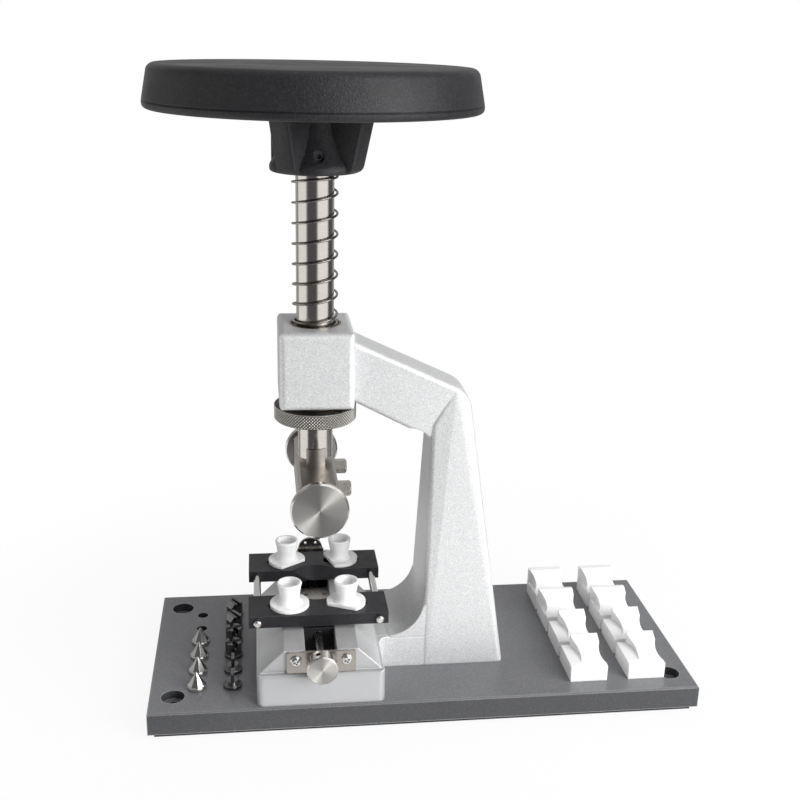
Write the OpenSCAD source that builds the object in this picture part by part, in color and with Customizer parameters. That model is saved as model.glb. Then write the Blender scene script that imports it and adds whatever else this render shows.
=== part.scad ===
// Bench watch case opener: a hand press with an adjustable two claw chuck over a screw vice.
// Origin on the floor under the middle of the base plate, X along the plate, -Y to the operator.

/* [Base] */
// Length of the base plate
plate_l = 286; // [276:2:320]
// Depth of the base plate, front to back
plate_w = 122; // [120:1:140]
// Thickness of the base plate
plate_t = 12; // [9:0.5:14]
// Width of the bevel round the top edge of the base plate
plate_bevel = 0.8; // [0.4:0.1:1.5]
// Thickness of the rubber mat under the base plate
mat_t = 3; // [2:0.2:4]
// How far the mat stands in from the edges of the base plate
mat_inset = 3; // [2:0.5:6]
// Distance of the mounting holes from the plate's ends
mount_in_x = 12; // [10:0.5:15]
// Distance of the mounting holes from the plate's front and back edges
mount_in_y = 15; // [12:0.5:19]
// Diameter of a mounting hole
mount_d = 6.6; // [5:0.1:7.5]
// Diameter of the counterbore over a mounting hole
mount_head_d = 12; // [10:0.5:14]
// Depth of the counterbore over a mounting hole
mount_head_t = 5; // [3:0.5:6]

/* [Frame casting] */
// Distance of the spindle's axis from the plate's left end
axis_in = 87; // [84:0.5:90]
// Width of the foot under the vice
foot_w = 64.8; // [60:0.2:68]
// Distance of the foot's front from the plate's front edge
foot_in = 1.7; // [1:0.1:4]
// Reach of the wide foot behind the spindle's axis
foot_back = 26.5; // [24:0.5:30]
// Height of the foot's side walls and front ledge
foot_h = 17.4; // [15:0.2:20]
// Depth of the ledge in front of the vice rails
ledge_d = 3.1; // [2.8:0.1:5]
// Height of the vice rails above the base plate
rail_h = 29.4; // [28.6:0.2:33]
// Width over the two vice rails
rail_w = 37.4; // [36:0.2:42]
// Width of the channel between the vice rails
channel_w = 16; // [14:0.2:18]
// Depth of the channel between the vice rails
channel_t = 13; // [12:0.2:15]
// Width of the narrow tail of the channel behind the foot
tail_w = 22; // [20:0.5:28]
// Distance of the channel's tail from the plate's back edge
tail_in = 3.5; // [2.5:0.5:6]
// Height of the head's underside above the base plate
head_up = 144; // [136:1:160]
// Width of the head block
head_w = 37.6; // [35:0.2:42]
// Depth of the head block, front to back
head_d = 44; // [38:0.5:50]
// Height of the head block
head_h = 40; // [36:0.5:46]
// Radius of the head block's rounded edges
head_r = 3; // [1.5:0.5:5]
// Thickness of the arm, front to back
arm_t = 25; // [22:0.5:32]
// Height of the arm where it leaves the head block
arm_h = 31; // [26:0.5:33]
// Distance from the spindle's axis to the column at its base
throat = 55.5; // [50:0.5:60]
// How far the column leans away from the spindle at the elbow
throat_lean = 3.9; // [0:0.1:6]
// Width of the column at its base
column_w = 44.4; // [36:0.2:50]
// Width of the column just under the elbow
neck_w = 21.2; // [16:0.2:26]
// Thickness of the column at its base, front to back
column_t = 54; // [48:0.5:60]
// Drop from the head's underside to the shoulder of the elbow
shoulder_drop = 2.6; // [0:0.2:8]
// Radius of the outside of the elbow
elbow_r = 15; // [8:0.5:20]
// Radius of the inside of the elbow
throat_r = 10; // [6:0.5:14]
// Radius of the fillet between the column and the foot
root_r = 20; // [14:0.5:24]
// Radius of the rounded edges of the arm and the column
edge_r = 2.6; // [1.5:0.1:4]
// Diameter of the bolts from the plate into the casting
bolt_d = 6; // [5:0.5:8]
// Diameter of those bolts' heads
bolt_head_d = 10; // [9:0.5:13]
// Height of those bolts' heads
bolt_head_t = 4; // [3:0.5:5]
// Depth of those bolts in the casting
bolt_in = 9; // [6:0.5:12]

/* [Spindle and bushes] */
// Diameter of the spindle in its bushes
spindle_d = 19; // [16:0.2:21]
// Diameter of the spindle's turned lower end
spindle_end_d = 18; // [15:0.2:19]
// Radial running clearance of the spindle in its bushes
spindle_play = 0.05; // [0.02:0.01:0.09]
// Height of the chuck body's top above the base plate
chuck_up = 109.6; // [104:0.2:116]
// Outside diameter of the upper bush
bush_d = 26.6; // [24.5:0.1:30]
// Length of the upper bush
bush_l = 16; // [10:0.5:18]
// Diameter of the spring's recess in the upper bush
seat_d = 24.4; // [23.8:0.1:26]
// Depth of the spring's recess in the upper bush
seat_t = 1.5; // [1:0.1:3]
// Diameter of the lower bush in the head
low_bush_d = 24; // [22.5:0.2:28]
// Length of the lower bush inside the head
low_bush_l = 12; // [8:0.5:16]
// Diameter of the lower bush's flange
flange_d = 30; // [27:0.5:34]
// Thickness of the lower bush's flange
flange_t = 2.4; // [1.6:0.1:4]
// Diameter of the knurled stop collar
collar_d = 42.6; // [38:0.2:46]
// Height of the knurled stop collar
collar_h = 7.9; // [6:0.1:10]
// Gap between the stop collar and the flange at rest
stop_gap = 0.2; // [0.1:0.1:0.5]
// Stroke of the spindle
stroke = 31; // [20:1:32]
// Diameter of the set screws in the wheel's hub and the collar
set_d = 5; // [3:0.5:6]
// Length of the set screw in the hub
hub_set_l = 7.6; // [5:0.2:9]
// Length of the set screw in the collar
collar_set_l = 8; // [5:0.2:10]

/* [Handwheel] */
// Diameter of the handwheel at its lower edge
wheel_d = 161.4; // [140:0.2:170]
// Diameter of the handwheel at its upper edge
wheel_top_d = 155.4; // [130:0.2:160]
// Height of the handwheel's rim
wheel_h = 20.4; // [16:0.2:26]
// Radius of the rim's rounded upper edge
wheel_r = 3.2; // [1.5:0.1:5]
// Height of the hub under the handwheel
hub_h = 29; // [24:0.5:34]
// Diameter of the round plate at the hub's lower end
hub_d = 44; // [40:0.5:48]
// Diameter of the hub's core between the ribs
core_d = 34; // [30:0.5:38]
// Reach of a hub rib at its upper end
rib_top = 31.5; // [28:0.5:36]
// Reach of a hub rib at its lower end
rib_foot = 24; // [21:0.5:27]
// Thickness of a hub rib
rib_w = 11; // [7:0.5:13]
// Turn of the hub ribs away from the X axis
rib_turn = -37; // [-60:1:0]
// Depth of the hollow under the handwheel
hollow_t = 11; // [5:0.5:13]
// Wall of the handwheel's rim beside the hollow
rim_wall = 8; // [5:0.5:14]

/* [Return spring] */
// Height of the wheel's hub above the head block
spring_l = 75.4; // [60:0.2:80]
// Diameter of the spring wire
wire_d = 1.2; // [0.8:0.1:1.6]
// Outside diameter of the spring
spring_d = 23.2; // [22.6:0.1:24]
// Number of open turns
open_turns = 7; // [5:1:8]
// Rise of a closed end turn
close_rise = 1.9; // [1.7:0.1:2.6]

/* [Chuck] */
// Width of the chuck body
chuck_w = 20; // [18:0.5:23]
// Length of the chuck body
chuck_l = 73; // [68:1:78]
// Height of the chuck body
chuck_h = 20; // [19:0.5:24]
// Width of the slot in the chuck body
slot_w = 13; // [11.5:0.1:14]
// Thickness of the chuck body's roof over the slot
roof_t = 5; // [3.5:0.5:6]
// Thickness of the chuck body's end walls
end_t = 4; // [3:0.5:6]
// Width of the tenon that enters the spindle
tenon_w = 9.6; // [8:0.2:11]
// Height of the tenon
tenon_h = 9; // [7:0.5:11]
// Gap between the spindle's end and the chuck body
nose_gap = 3; // [2:0.2:4]
// Diameter of the pin through spindle and tenon
pin_d = 3; // [2:0.5:4]
// Diameter of the chuck's adjusting screw
screw_d = 6; // [5:0.5:7]
// Diameter of the thumb discs
disc_d = 29.2; // [26:0.2:32]
// Thickness of the thumb discs
disc_t = 3.6; // [3:0.2:6]
// Width of the gap between the chuck body and a thumb disc
disc_gap = 4.6; // [3:0.2:6]
// Distance from the spindle's axis to each claw
claw_y = 15.5; // [14:0.5:18]
// Inward travel of each claw
claw_in = 8; // [4:0.5:8]
// Outward travel of each claw
claw_out = 10; // [6:0.5:10]
// Length of a claw holder along the chuck
holder_l = 13; // [11:0.5:14]
// Diameter of a claw's shank
shank_d = 5; // [4:0.1:5.5]
// Reach of a claw below the chuck body
claw_l = 18; // [14:0.5:20]
// Diameter of the clamp screws' thread
clamp_d = 4; // [3:0.5:5]
// Width across the flats of a clamp screw's head
clamp_head = 7; // [6:0.5:8]
// Length of a clamp screw's head
clamp_head_l = 7.4; // [5:0.2:9]

/* [Vice] */
// Height of the lead screw's axis above the base plate
lead_up = 24.6; // [23:0.1:26]
// Diameter of the lead screw
lead_d = 5; // [4.6:0.2:6]
// Diameter of the lead screw's necks in the end plates
lead_neck_d = 4.2; // [3.6:0.1:4.4]
// Diameter of the lead screw's knob
knob_d = 15.6; // [14:0.2:20]
// Length of the knob
knob_l = 7.4; // [6:0.2:12]
// Gap between the cover plate and the knob's wide part
knob_gap = 3.4; // [2:0.2:5]
// Width of the front cover plate
cover_w = 34.8; // [32:0.2:36]
// Thickness of the front cover plate
cover_t = 1.6; // [1.2:0.1:2.4]
// Distance between the cover plate's screws
cover_pitch = 25.4; // [24:0.2:27]
// Diameter of the cover plate's screws
cover_screw_d = 3; // [2:0.5:3.5]
// Length of a jaw
jaw_l = 72.2; // [68:0.2:76]
// Depth of a jaw, front to back
jaw_w = 22.8; // [20:0.2:25]
// Thickness of a jaw
jaw_t = 6.4; // [6:0.2:9]
// Gap between the rails and the jaws
jaw_lift = 2.6; // [1:0.1:4]
// Opening between the jaws at rest
jaw_gap = 28; // [22:0.5:30]
// Smallest opening between the jaws
jaw_shut = 1; // [0.5:0.5:4]
// Outward travel of each jaw
jaw_out = 9.5; // [4:0.5:9.5]
// Radius of the coned recess at the top of each jaw
scoop_r = 14.6; // [10:0.2:18]
// Depth of the coned recess into the top of each jaw
scoop_t = 6.2; // [4:0.2:6.4]
// Clearance under and beside the jaws' sliders
slide_gap = 0.25; // [0.15:0.05:0.4]
// Length of the middle bearing of the lead screw
mid_l = 15; // [10:0.2:16]
// Distance of the middle bearing behind the spindle's axis
mid_back = 4.2; // [0:0.2:5]
// Diameter of the guide rods
rod_d = 4; // [3:0.1:5]
// Distance between the guide rods
rod_pitch = 63; // [60:0.2:66]
// How far a guide rod stands out of the front jaw
rod_out = 2.7; // [2:0.1:5]
// Distance from the spindle's axis to a stud, along the jaw
stud_x = 14.8; // [13:0.2:18]
// Inward travel of a stud in its slot
stud_in = 6; // [2:0.5:7]
// Outward travel of a stud in its slot
stud_out = 8; // [2:0.5:9]
// Width of the slot for a stud
stud_slot = 6.4; // [5:0.2:8]
// Width of the wide lower part of a stud slot
nut_slot = 10; // [9:0.2:12]
// Height of the wide lower part of a stud slot
nut_t = 3; // [2:0.2:3.6]
// Diameter of a stud's threaded post
post_d = 4; // [3:0.2:5]
// Diameter of a stud's flange
stud_flange = 20.4; // [18:0.2:23]
// Thickness of a stud's flange
stud_flange_t = 1.8; // [1.2:0.1:3]
// Diameter of a stud's cup at the top
cup_d = 12.9; // [11:0.1:15]
// Diameter of a stud's waist
waist_d = 10.2; // [8.5:0.1:12]
// Height of a stud above the jaw
stud_h = 13.4; // [10:0.2:16]
// Distance from a stud's middle to the flat on its flange
stud_flat = 6.4; // [5.5:0.1:9]

/* [Stored bits] */
// Distance of the left row of bits from the plate's left end
row_in = 23.8; // [21:0.2:26]
// Distance between the two rows of bits
row_pitch = 18.3; // [16:0.1:19]
// Distance between bits along a row
bit_pitch = 15.1; // [12.5:0.1:15.5]
// Distance of the middle of the bit rows in front of the plate's middle
bits_front = 0.8; // [0:0.1:2]
// Diameter of a bit's shank
bit_shank = 5.8; // [4:0.1:6.5]
// Radial clearance of a bit's shank in its hole
bit_play = 0.1; // [0.05:0.05:0.3]
// Depth of the bit holes
bit_hole_t = 7; // [5:0.5:7]
// Diameter of a bit's flange
bit_d = 9.8; // [8:0.1:11]
// Thickness of a bit's flange
bit_flange_t = 2; // [1:0.1:3]
// Height of a cone bit above its flange
cone_h = 7; // [5:0.5:12]
// Height of a dark bit above its flange
head_bit_h = 6.6; // [5:0.2:9]

/* [Case blocks] */
// Width of a case block
block_w = 19.8; // [16:0.2:22]
// Depth of a case block, front to back
block_d = 22.4; // [18:0.2:24]
// Height of a case block at its back
block_h = 16; // [13:0.5:19]
// Height of a case block at its front
block_low = 9; // [6:0.5:10]
// Distance between blocks, front to back
block_pitch = 26.2; // [25:0.2:28]
// Distance between the two rows of blocks
block_row = 31.4; // [26:0.2:34]
// Distance of the first row of blocks from the plate's right end
block_in = 57.2; // [50:0.2:62]
// Width of the low step on a case block
step_w = 5; // [3.5:0.5:7]
// Diameter of the peg under a case block
peg_d = 8; // [5:0.5:10]
// Length of the peg under a case block
peg_l = 5; // [3:0.5:6]

/* [Hidden] */
$fn = 64;
deck = mat_t + plate_t;
mount_x = plate_l - 2 * mount_in_x;
mount_y = plate_w - 2 * mount_in_y;
ax = axis_in - plate_l / 2;
fuse = 0.5;
skin = 0.02;
bore_fit = 0.05;
foot_front = plate_w / 2 - foot_in;
tail_back = plate_w / 2 - tail_in;
foot_y = -foot_front + ledge_d;
ledge_z = deck + foot_h;
rail_z = deck + rail_h;
head_z = deck + head_up;
head_top = head_z + head_h;
lead_z = deck + lead_up;
collar_top = head_z - flange_t - stop_gap;
collar_z = collar_top - collar_h;
chuck_top = deck + chuck_up;
chuck_z = chuck_top - chuck_h;
screw_z = chuck_top - chuck_h / 2;
nose_z = chuck_top + nose_gap;
pin_z = chuck_top + (nose_gap + tenon_h) / 2 + 0.5;
seat_z = head_top - seat_t;
spring_top = head_top + spring_l;
hub_z = spring_top;
set_z = hub_z + 0.3 * hub_h;
wheel_z = hub_z + hub_h;
wheel_top = wheel_z + wheel_h;
spindle_top = wheel_z - 4;
jaw_z = rail_z + jaw_lift;
jaw_y = jaw_gap / 2 + jaw_w / 2;
jaw_in = (jaw_gap - jaw_shut) / 2;
jaw_top = jaw_z + jaw_t;
slider_w = channel_w - 2 * slide_gap;
slider_z = rail_z - channel_t + slide_gap;
slider_top = rail_z + 0.4;
front_slider_y = [-jaw_y - jaw_w / 2 + 2, mid_back - mid_l / 2 - jaw_in - slide_gap];
rear_slider_y = [mid_back + mid_l / 2 + jaw_in + slide_gap, tail_back - jaw_out - 1.4];
knob_y = foot_y - cover_t - knob_gap;
knob_end = knob_y - knob_l;
bolt_tip = 1;
post_up = 5.8;
cover_screw_in = 6;
set_turn = -87;
bit_x = -plate_l / 2 + row_in;
block_x = plate_l / 2 - block_in;

// Rectangle with rounded corners, centred
module round_rect(w, h, r) {
    square([w - 2 * r, h], center = true);
    square([w, h - 2 * r], center = true);
    for (sx = [-1, 1], sy = [-1, 1])
        translate([sx * (w / 2 - r), sy * (h / 2 - r)])
            circle(r);
}

// Block with every edge rounded, centred in X and Y, standing on z = 0
module soft_block(w, d, h, r) {
    intersection() {
        linear_extrude(h)
            round_rect(w, d, r);
        translate([0, d / 2 + fuse, h / 2])
            rotate([90, 0, 0])
                linear_extrude(d + 2 * fuse)
                    round_rect(w, h, r);
        translate([-w / 2 - fuse, 0, h / 2])
            rotate([90, 0, 90])
                linear_extrude(w + 2 * fuse)
                    round_rect(d, h, r);
    }
}

// Cylinder with a bevel at both ends
module bevel_rod(d, l, b) {
    rotate_extrude()
        polygon([[0, 0], [d / 2 - b, 0], [d / 2, b], [d / 2, l - b], [d / 2 - b, l], [0, l]]);
}

// Cylinder along Y from y0 to y1
module y_rod(d, y0, y1) {
    translate([0, y0, 0])
        rotate([-90, 0, 0])
            cylinder(d = d, h = y1 - y0);
}

// Cylinder along X from x0 to x1
module x_rod(d, x0, x1) {
    translate([x0, 0, 0])
        rotate([0, 90, 0])
            cylinder(d = d, h = x1 - x0);
}

// Two balls at the front and back of a section of the casting
module ball_pair(x, z, t, r) {
    for (s = [-1, 1])
        translate([x, s * (t / 2 - r), z])
            sphere(r, $fn = 24);
}

// Slot with round ends along Y, centred
module y_slot(w, l, h) {
    for (s = [-1, 1])
        translate([0, s * (l - w) / 2, 0])
            cylinder(d = w, h = h);
    translate([-w / 2, -(l - w) / 2, 0])
        cube([w, l - w, h]);
}

// Cross shaped recess of a screw head
module cross_recess(w, l, t) {
    for (a = [0, 90])
        rotate([0, 0, a])
            translate([-l / 2, -w / 2, 0])
                cube([l, w, t]);
}

/* Base */

module at_mounts() {
    for (sx = [-1, 1], sy = [-1, 1])
        translate([sx * mount_x / 2, sy * mount_y / 2, 0])
            children();
}

// Bits are counted from the back of their row
function bit_row_y(i) = (2.5 - i) * bit_pitch - bits_front;

// The four bolts that hold the casting to the plate, from below
function bolt_places() = [[ax - foot_w / 2 + 9, foot_y + 9], [ax - foot_w / 2 + 9, foot_back - 9],
    [ax + throat + column_w - 12, -column_t / 4], [ax + throat + column_w - 12, column_t / 4]];

module base_plate() {
    color("dimgray")
    difference() {
        intersection() {
            translate([-plate_l / 2, plate_w / 2, mat_t])
                rotate([90, 0, 0])
                    linear_extrude(plate_w)
                        polygon([[0, 0], [plate_l, 0], [plate_l, plate_t - plate_bevel],
                            [plate_l - plate_bevel, plate_t], [plate_bevel, plate_t],
                            [0, plate_t - plate_bevel]]);
            translate([-plate_l / 2, 0, mat_t])
                rotate([90, 0, 90])
                    linear_extrude(plate_l)
                        polygon([[-plate_w / 2, 0], [plate_w / 2, 0],
                            [plate_w / 2, plate_t - plate_bevel],
                            [plate_w / 2 - plate_bevel, plate_t],
                            [-plate_w / 2 + plate_bevel, plate_t],
                            [-plate_w / 2, plate_t - plate_bevel]]);
        }
        at_mounts() {
            translate([0, 0, mat_t - 1])
                cylinder(d = mount_d, h = plate_t + 2);
            translate([0, 0, deck - mount_head_t])
                cylinder(d = mount_head_d, h = mount_head_t + 1);
        }
        for (i = [0:5], j = [0, 1])
            translate([bit_x + j * row_pitch, bit_row_y(i), deck - bit_hole_t])
                cylinder(r = bit_shank / 2 + bit_play, h = bit_hole_t + 1);
        for (i = [0:7])
            translate([block_place(i)[0], block_place(i)[1], deck - peg_l - fuse])
                cylinder(d = peg_d, h = peg_l + fuse + 1);
        for (p = bolt_places())
            translate([p[0], p[1], mat_t - 1]) {
                cylinder(d = bolt_d, h = plate_t + 2);
                cylinder(d = bolt_head_d + 1, h = bolt_head_t + 1.2);
            }
    }
}

module rubber_mat() {
    color([0.08, 0.08, 0.08])
    difference() {
        translate([-plate_l / 2 + mat_inset, -plate_w / 2 + mat_inset, 0])
            cube([plate_l - 2 * mat_inset, plate_w - 2 * mat_inset, mat_t]);
        at_mounts()
            translate([0, 0, -1])
                cylinder(d = mount_head_d, h = mat_t + 2);
    }
}

/* Frame casting */

base_in = ax + throat;
base_out = base_in + column_w;
neck_in = base_in + throat_lean;
neck_out = neck_in + neck_w;
shoulder_z = head_z - shoulder_drop;
arm_top = head_z + arm_h + 4;

// Thickness of the casting, which grows from the arm to the base
function cast_t(z) = arm_t + (column_t - arm_t) * (shoulder_z - z) / (shoulder_z - deck);

module arm() {
    hull() {
        ball_pair(ax + head_w / 2 - 5, arm_top - edge_r, arm_t, edge_r);
        ball_pair(ax + head_w / 2 - 5, arm_top - arm_h + edge_r, arm_t, edge_r);
        ball_pair(neck_in + edge_r, shoulder_z - 2 * throat_r + 4, arm_t, edge_r);
        elbow();
    }
}

module elbow() {
    for (a = [8:13:60])
        ball_pair(neck_out - elbow_r + (elbow_r - edge_r) * cos(a),
            shoulder_z - 1 + (elbow_r - edge_r) * (sin(a) - sin(8)), arm_t, edge_r);
}

module column() {
    hull() {
        elbow();
        ball_pair(neck_in + edge_r, shoulder_z - throat_r, cast_t(shoulder_z - throat_r), edge_r);
        for (x = [base_in + edge_r, base_out - edge_r], s = [-1, 1])
            translate([x, s * (column_t / 2 - edge_r), deck])
                cylinder(r = edge_r, h = 1, $fn = 24);
    }
}

// Place of the column's front face along X at a height
function column_x(z) = base_in + throat_lean * (z - deck) / (shoulder_z - throat_r - deck);

// Low bridge between the foot and the column, as wide as the column
module bridge() {
    x0 = ax + foot_w / 2 - 6;
    h = foot_h - 0.1;
    low = column_t / 2 - 0.1;
    top = cast_t(ledge_z) / 2 - 0.1;
    translate([x0, 0, deck])
        rotate([90, 0, 90])
            linear_extrude(base_in + 8 - x0)
                polygon([[-low, 0], [low, 0], [top, h - 1.6], [top - 1.6, h], [-top + 1.6, h],
                    [-top, h - 1.6]]);
}

// Fillet between the bridge's top and the column's leaning front
module root_fillet() {
    lean = atan(throat_lean / (shoulder_z - throat_r - deck));
    centre_x = column_x(ledge_z + root_r) - root_r / cos(lean);
    top = ledge_z + root_r - edge_r;
    difference() {
        hull() {
            for (x = [centre_x + edge_r + 0.5, base_in + 8], s = [-1, 1])
                translate([x, s * (cast_t(ledge_z) / 2 - edge_r - 0.25), deck + foot_h / 2])
                    cylinder(r = edge_r, h = foot_h / 2 - 0.3, $fn = 24);
            ball_pair(base_in + 8, top, cast_t(top) - 0.3, edge_r);
            ball_pair(column_x(top) + edge_r + 0.3, top, cast_t(top) - 0.3, edge_r);
        }
        translate([centre_x, 0, ledge_z + root_r])
            y_rod(2 * root_r, -column_t, column_t);
    }
}

// Upright fillet between the foot's side and the column's front
module side_fillet() {
    r = 5;
    x0 = ax + foot_w / 2;
    y0 = -cast_t(ledge_z) / 2;
    difference() {
        translate([x0 - 1, y0 - r, deck])
            cube([r + 1, r + 2, foot_h - 0.4]);
        translate([x0 + r, y0 - r, deck - 1])
            cylinder(r = r, h = foot_h + 2);
    }
}

module elbow_corner() {
    t = arm_t - 2;
    translate([0, t / 2, 0])
        rotate([90, 0, 0])
            linear_extrude(t)
                polygon([[neck_in + 4, shoulder_z - 2 * throat_r - 2], [neck_in - 8, shoulder_z - 12],
                    [neck_in - 4, shoulder_z], [neck_in + 6, shoulder_z]]);
}

// Wide base of the foot with rounded upright corners and a softened top edge
module foot_base() {
    d = foot_front + foot_back;
    soft = 1.6;
    corner = 3.5;
    translate([ax, (foot_back - foot_front) / 2, deck])
        intersection() {
            linear_extrude(foot_h)
                round_rect(foot_w, d, corner);
            translate([0, d / 2 + fuse, 0])
                rotate([90, 0, 0])
                    linear_extrude(d + 2 * fuse)
                        round_rect(foot_w, 2 * foot_h, soft);
            translate([-foot_w / 2 - fuse, 0, 0])
                rotate([90, 0, 90])
                    linear_extrude(foot_w + 2 * fuse)
                        round_rect(d, 2 * foot_h, soft);
        }
}

// Rails with roof shaped shoulders on the foot, and the channel's narrow tail behind
module rails() {
    inset = 1.6;
    translate([ax, foot_back - 2, deck])
        rotate([90, 0, 0])
            linear_extrude(foot_back - 2 - foot_y)
                polygon([[-foot_w / 2 + inset, foot_h - 4], [foot_w / 2 - inset, foot_h - 4],
                    [foot_w / 2 - inset, foot_h], [rail_w / 2, rail_h], [-rail_w / 2, rail_h],
                    [-foot_w / 2 + inset, foot_h]]);
    translate([ax - tail_w / 2, 0, deck])
        cube([tail_w, tail_back, rail_h]);
}

module frame_casting() {
    color([0.78, 0.79, 0.8])
    difference() {
        union() {
            translate([ax, 0, head_z])
                soft_block(head_w, head_d, head_h, head_r);
            difference() {
                union() {
                    arm();
                    elbow_corner();
                }
                translate([neck_in - throat_r, 0, shoulder_z - 2 * throat_r - 1.2])
                    y_rod(2 * throat_r, -arm_t, arm_t);
            }
            column();
            bridge();
            root_fillet();
            side_fillet();
            foot_base();
            rails();
        }
        translate([ax, 0, rail_z - channel_t])
            translate([-channel_w / 2, foot_y - skin, 0])
                cube([channel_w, tail_back - foot_y + 1, channel_t + 1]);
        translate([ax, 0, head_top - bush_l])
            cylinder(d = bush_d, h = bush_l + 1);
        translate([ax, 0, head_z - 1])
            cylinder(d = low_bush_d, h = low_bush_l + 1);
        translate([ax, 0, head_z])
            cylinder(d = spindle_d + 2, h = head_h);
        for (p = bolt_places())
            translate([p[0], p[1], deck - 1])
                cylinder(d = bolt_d, h = 1 + bolt_in + bolt_tip);
        for (s = [-1, 1])
            translate([ax + s * cover_pitch / 2, 0, lead_z])
                y_rod(cover_screw_d, foot_y - 1, foot_y + cover_screw_in + 1);
    }
}

module frame_bolts() {
    color([0.25, 0.25, 0.26])
    for (p = bolt_places())
        translate([p[0], p[1], mat_t])
            difference() {
                union() {
                    cylinder(d = bolt_head_d, h = bolt_head_t);
                    cylinder(d = bolt_d, h = plate_t + bolt_in);
                }
                translate([0, 0, -1])
                    cylinder(d = bolt_head_d * 0.56, h = 1 + bolt_head_t * 0.6, $fn = 6);
            }
}

module upper_bush() {
    color([0.7, 0.62, 0.45])
    translate([ax, 0, head_top - bush_l])
        difference() {
            cylinder(d = bush_d, h = bush_l);
            translate([0, 0, -1])
                cylinder(r = spindle_d / 2 + spindle_play, h = bush_l + 2);
            translate([0, 0, bush_l - seat_t])
                cylinder(d = seat_d, h = seat_t + 1);
        }
}

module lower_bush() {
    color([0.7, 0.62, 0.45])
    translate([ax, 0, head_z - flange_t])
        difference() {
            union() {
                cylinder(d = flange_d, h = flange_t);
                cylinder(d = low_bush_d, h = flange_t + low_bush_l);
            }
            translate([0, 0, -1])
                cylinder(r = spindle_d / 2 + spindle_play, h = flange_t + low_bush_l + 2);
        }
}

/* Spindle and handwheel */

module spindle() {
    color([0.74, 0.73, 0.7])
    translate([ax, 0, 0])
        difference() {
            union() {
                translate([0, 0, nose_z])
                    bevel_rod(spindle_end_d, collar_top - nose_z + fuse, 0.4);
                translate([0, 0, collar_top])
                    bevel_rod(spindle_d, spindle_top - collar_top, 0.4);
            }
            translate([-tenon_w / 2 - bore_fit, -spindle_d, nose_z - 1])
                cube([tenon_w + 2 * bore_fit, 2 * spindle_d, 1 + chuck_top + tenon_h - nose_z + 0.3]);
            translate([0, 0, pin_z])
                x_rod(pin_d, -spindle_d, spindle_d);
        }
}

module handwheel() {
    r = wheel_d / 2;
    rt = wheel_top_d / 2;
    groove_z = 3.4;
    groove_t = 0.6;
    color([0.1, 0.1, 0.1])
    translate([ax, 0, 0])
        difference() {
            union() {
                translate([0, 0, wheel_z])
                    rotate_extrude($fn = 128)
                        wheel_section(r, rt, groove_z, groove_t);
                hub();
            }
            translate([0, 0, hub_z - 1])
                cylinder(d = spindle_d, h = spindle_top - hub_z + 1);
            hollow();
            rotate([0, 0, set_turn])
                translate([0, 0, set_z])
                    x_rod(set_d, spindle_d / 2 - 1, hub_d);
        }
}

// Half section of the wheel's rim and web: drafted side, rounded top, thin groove near the bottom
module wheel_section(r, rt, gz, gt) {
    difference() {
        union() {
            polygon([[0, 0], [r - 1.2, 0], [r, 1.2], [rt + 0.4, wheel_h - wheel_r], [0, wheel_h - wheel_r]]);
            square([rt + 0.4 - wheel_r, wheel_h]);
            translate([rt + 0.4 - wheel_r, wheel_h - wheel_r])
                circle(wheel_r);
        }
        translate([r - 1.1, gz])
            square([4, gt]);
        translate([-20, 0])
            square([20, wheel_h]);
    }
}

module hub() {
    core = core_d / 2;
    plate = hub_d / 2;
    translate([0, 0, hub_z])
        rotate_extrude()
            polygon([[0, 0], [plate - 0.8, 0], [plate, 0.8], [plate, 3.4], [core + 3, 5.6],
                [core + 1, 8.4], [core, 12], [core, hub_h + fuse], [0, hub_h + fuse]]);
    for (a = [0:90:270])
        rotate([0, 0, rib_turn + a])
            intersection() {
                translate([0, -rib_w / 2, hub_z])
                    cube([rib_top + 2, rib_w, hub_h + fuse]);
                translate([0, 0, hub_z])
                    cylinder(r1 = rib_foot, r2 = rib_top, h = hub_h + fuse, $fn = 96);
            }
}

// Ring shaped hollow under the wheel, crossed by four ribs in line with the hub's
module hollow() {
    difference() {
        translate([0, 0, wheel_z - 1])
            rotate_extrude($fn = 96)
                translate([rib_top + 3, 0])
                    square([wheel_d / 2 - rim_wall - rib_top - 3, hollow_t + 1]);
        for (a = [0:90:270])
            rotate([0, 0, rib_turn + a])
                translate([0, -2, wheel_z - 2])
                    cube([wheel_d / 2, 4, hollow_t + 4]);
    }
}

module stop_collar() {
    color([0.72, 0.7, 0.67])
    translate([ax, 0, collar_z])
        difference() {
            bevel_rod(collar_d, collar_h, 0.6);
            translate([0, 0, -1])
                cylinder(d = spindle_end_d, h = collar_h + 2);
            translate([0, 0, collar_h / 2])
                rotate([0, 0, 90])
                    x_rod(set_d, spindle_end_d / 2 - 1, collar_d);
        }
}

module set_screw(l) {
    difference() {
        x_rod(set_d, 0, l);
        rotate([0, 90, 0])
            translate([0, 0, l - 2])
                cylinder(d = set_d * 0.58, h = 3, $fn = 6);
    }
}

module set_screws() {
    color([0.2, 0.2, 0.21])
    translate([ax, 0, 0]) {
        rotate([0, 0, set_turn])
            translate([spindle_d / 2, 0, set_z])
                set_screw(hub_set_l);
        rotate([0, 0, 90])
            translate([spindle_end_d / 2, 0, collar_z + collar_h / 2])
                set_screw(collar_set_l);
    }
}

/* Return spring: one wire, closed at both ends, with a short straight run at each end */

spring_r = (spring_d - wire_d) / 2;
turns = open_turns + 2;
end_gap = 0.05;
curl_rings = 8;
tube_sides = 6;
spring_low = seat_z + wire_d + end_gap;
spring_high = spring_top - wire_d - end_gap;
open_rise = (spring_high - spring_low - 2 * close_rise) / open_turns;
spring_turn = 250;

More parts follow.
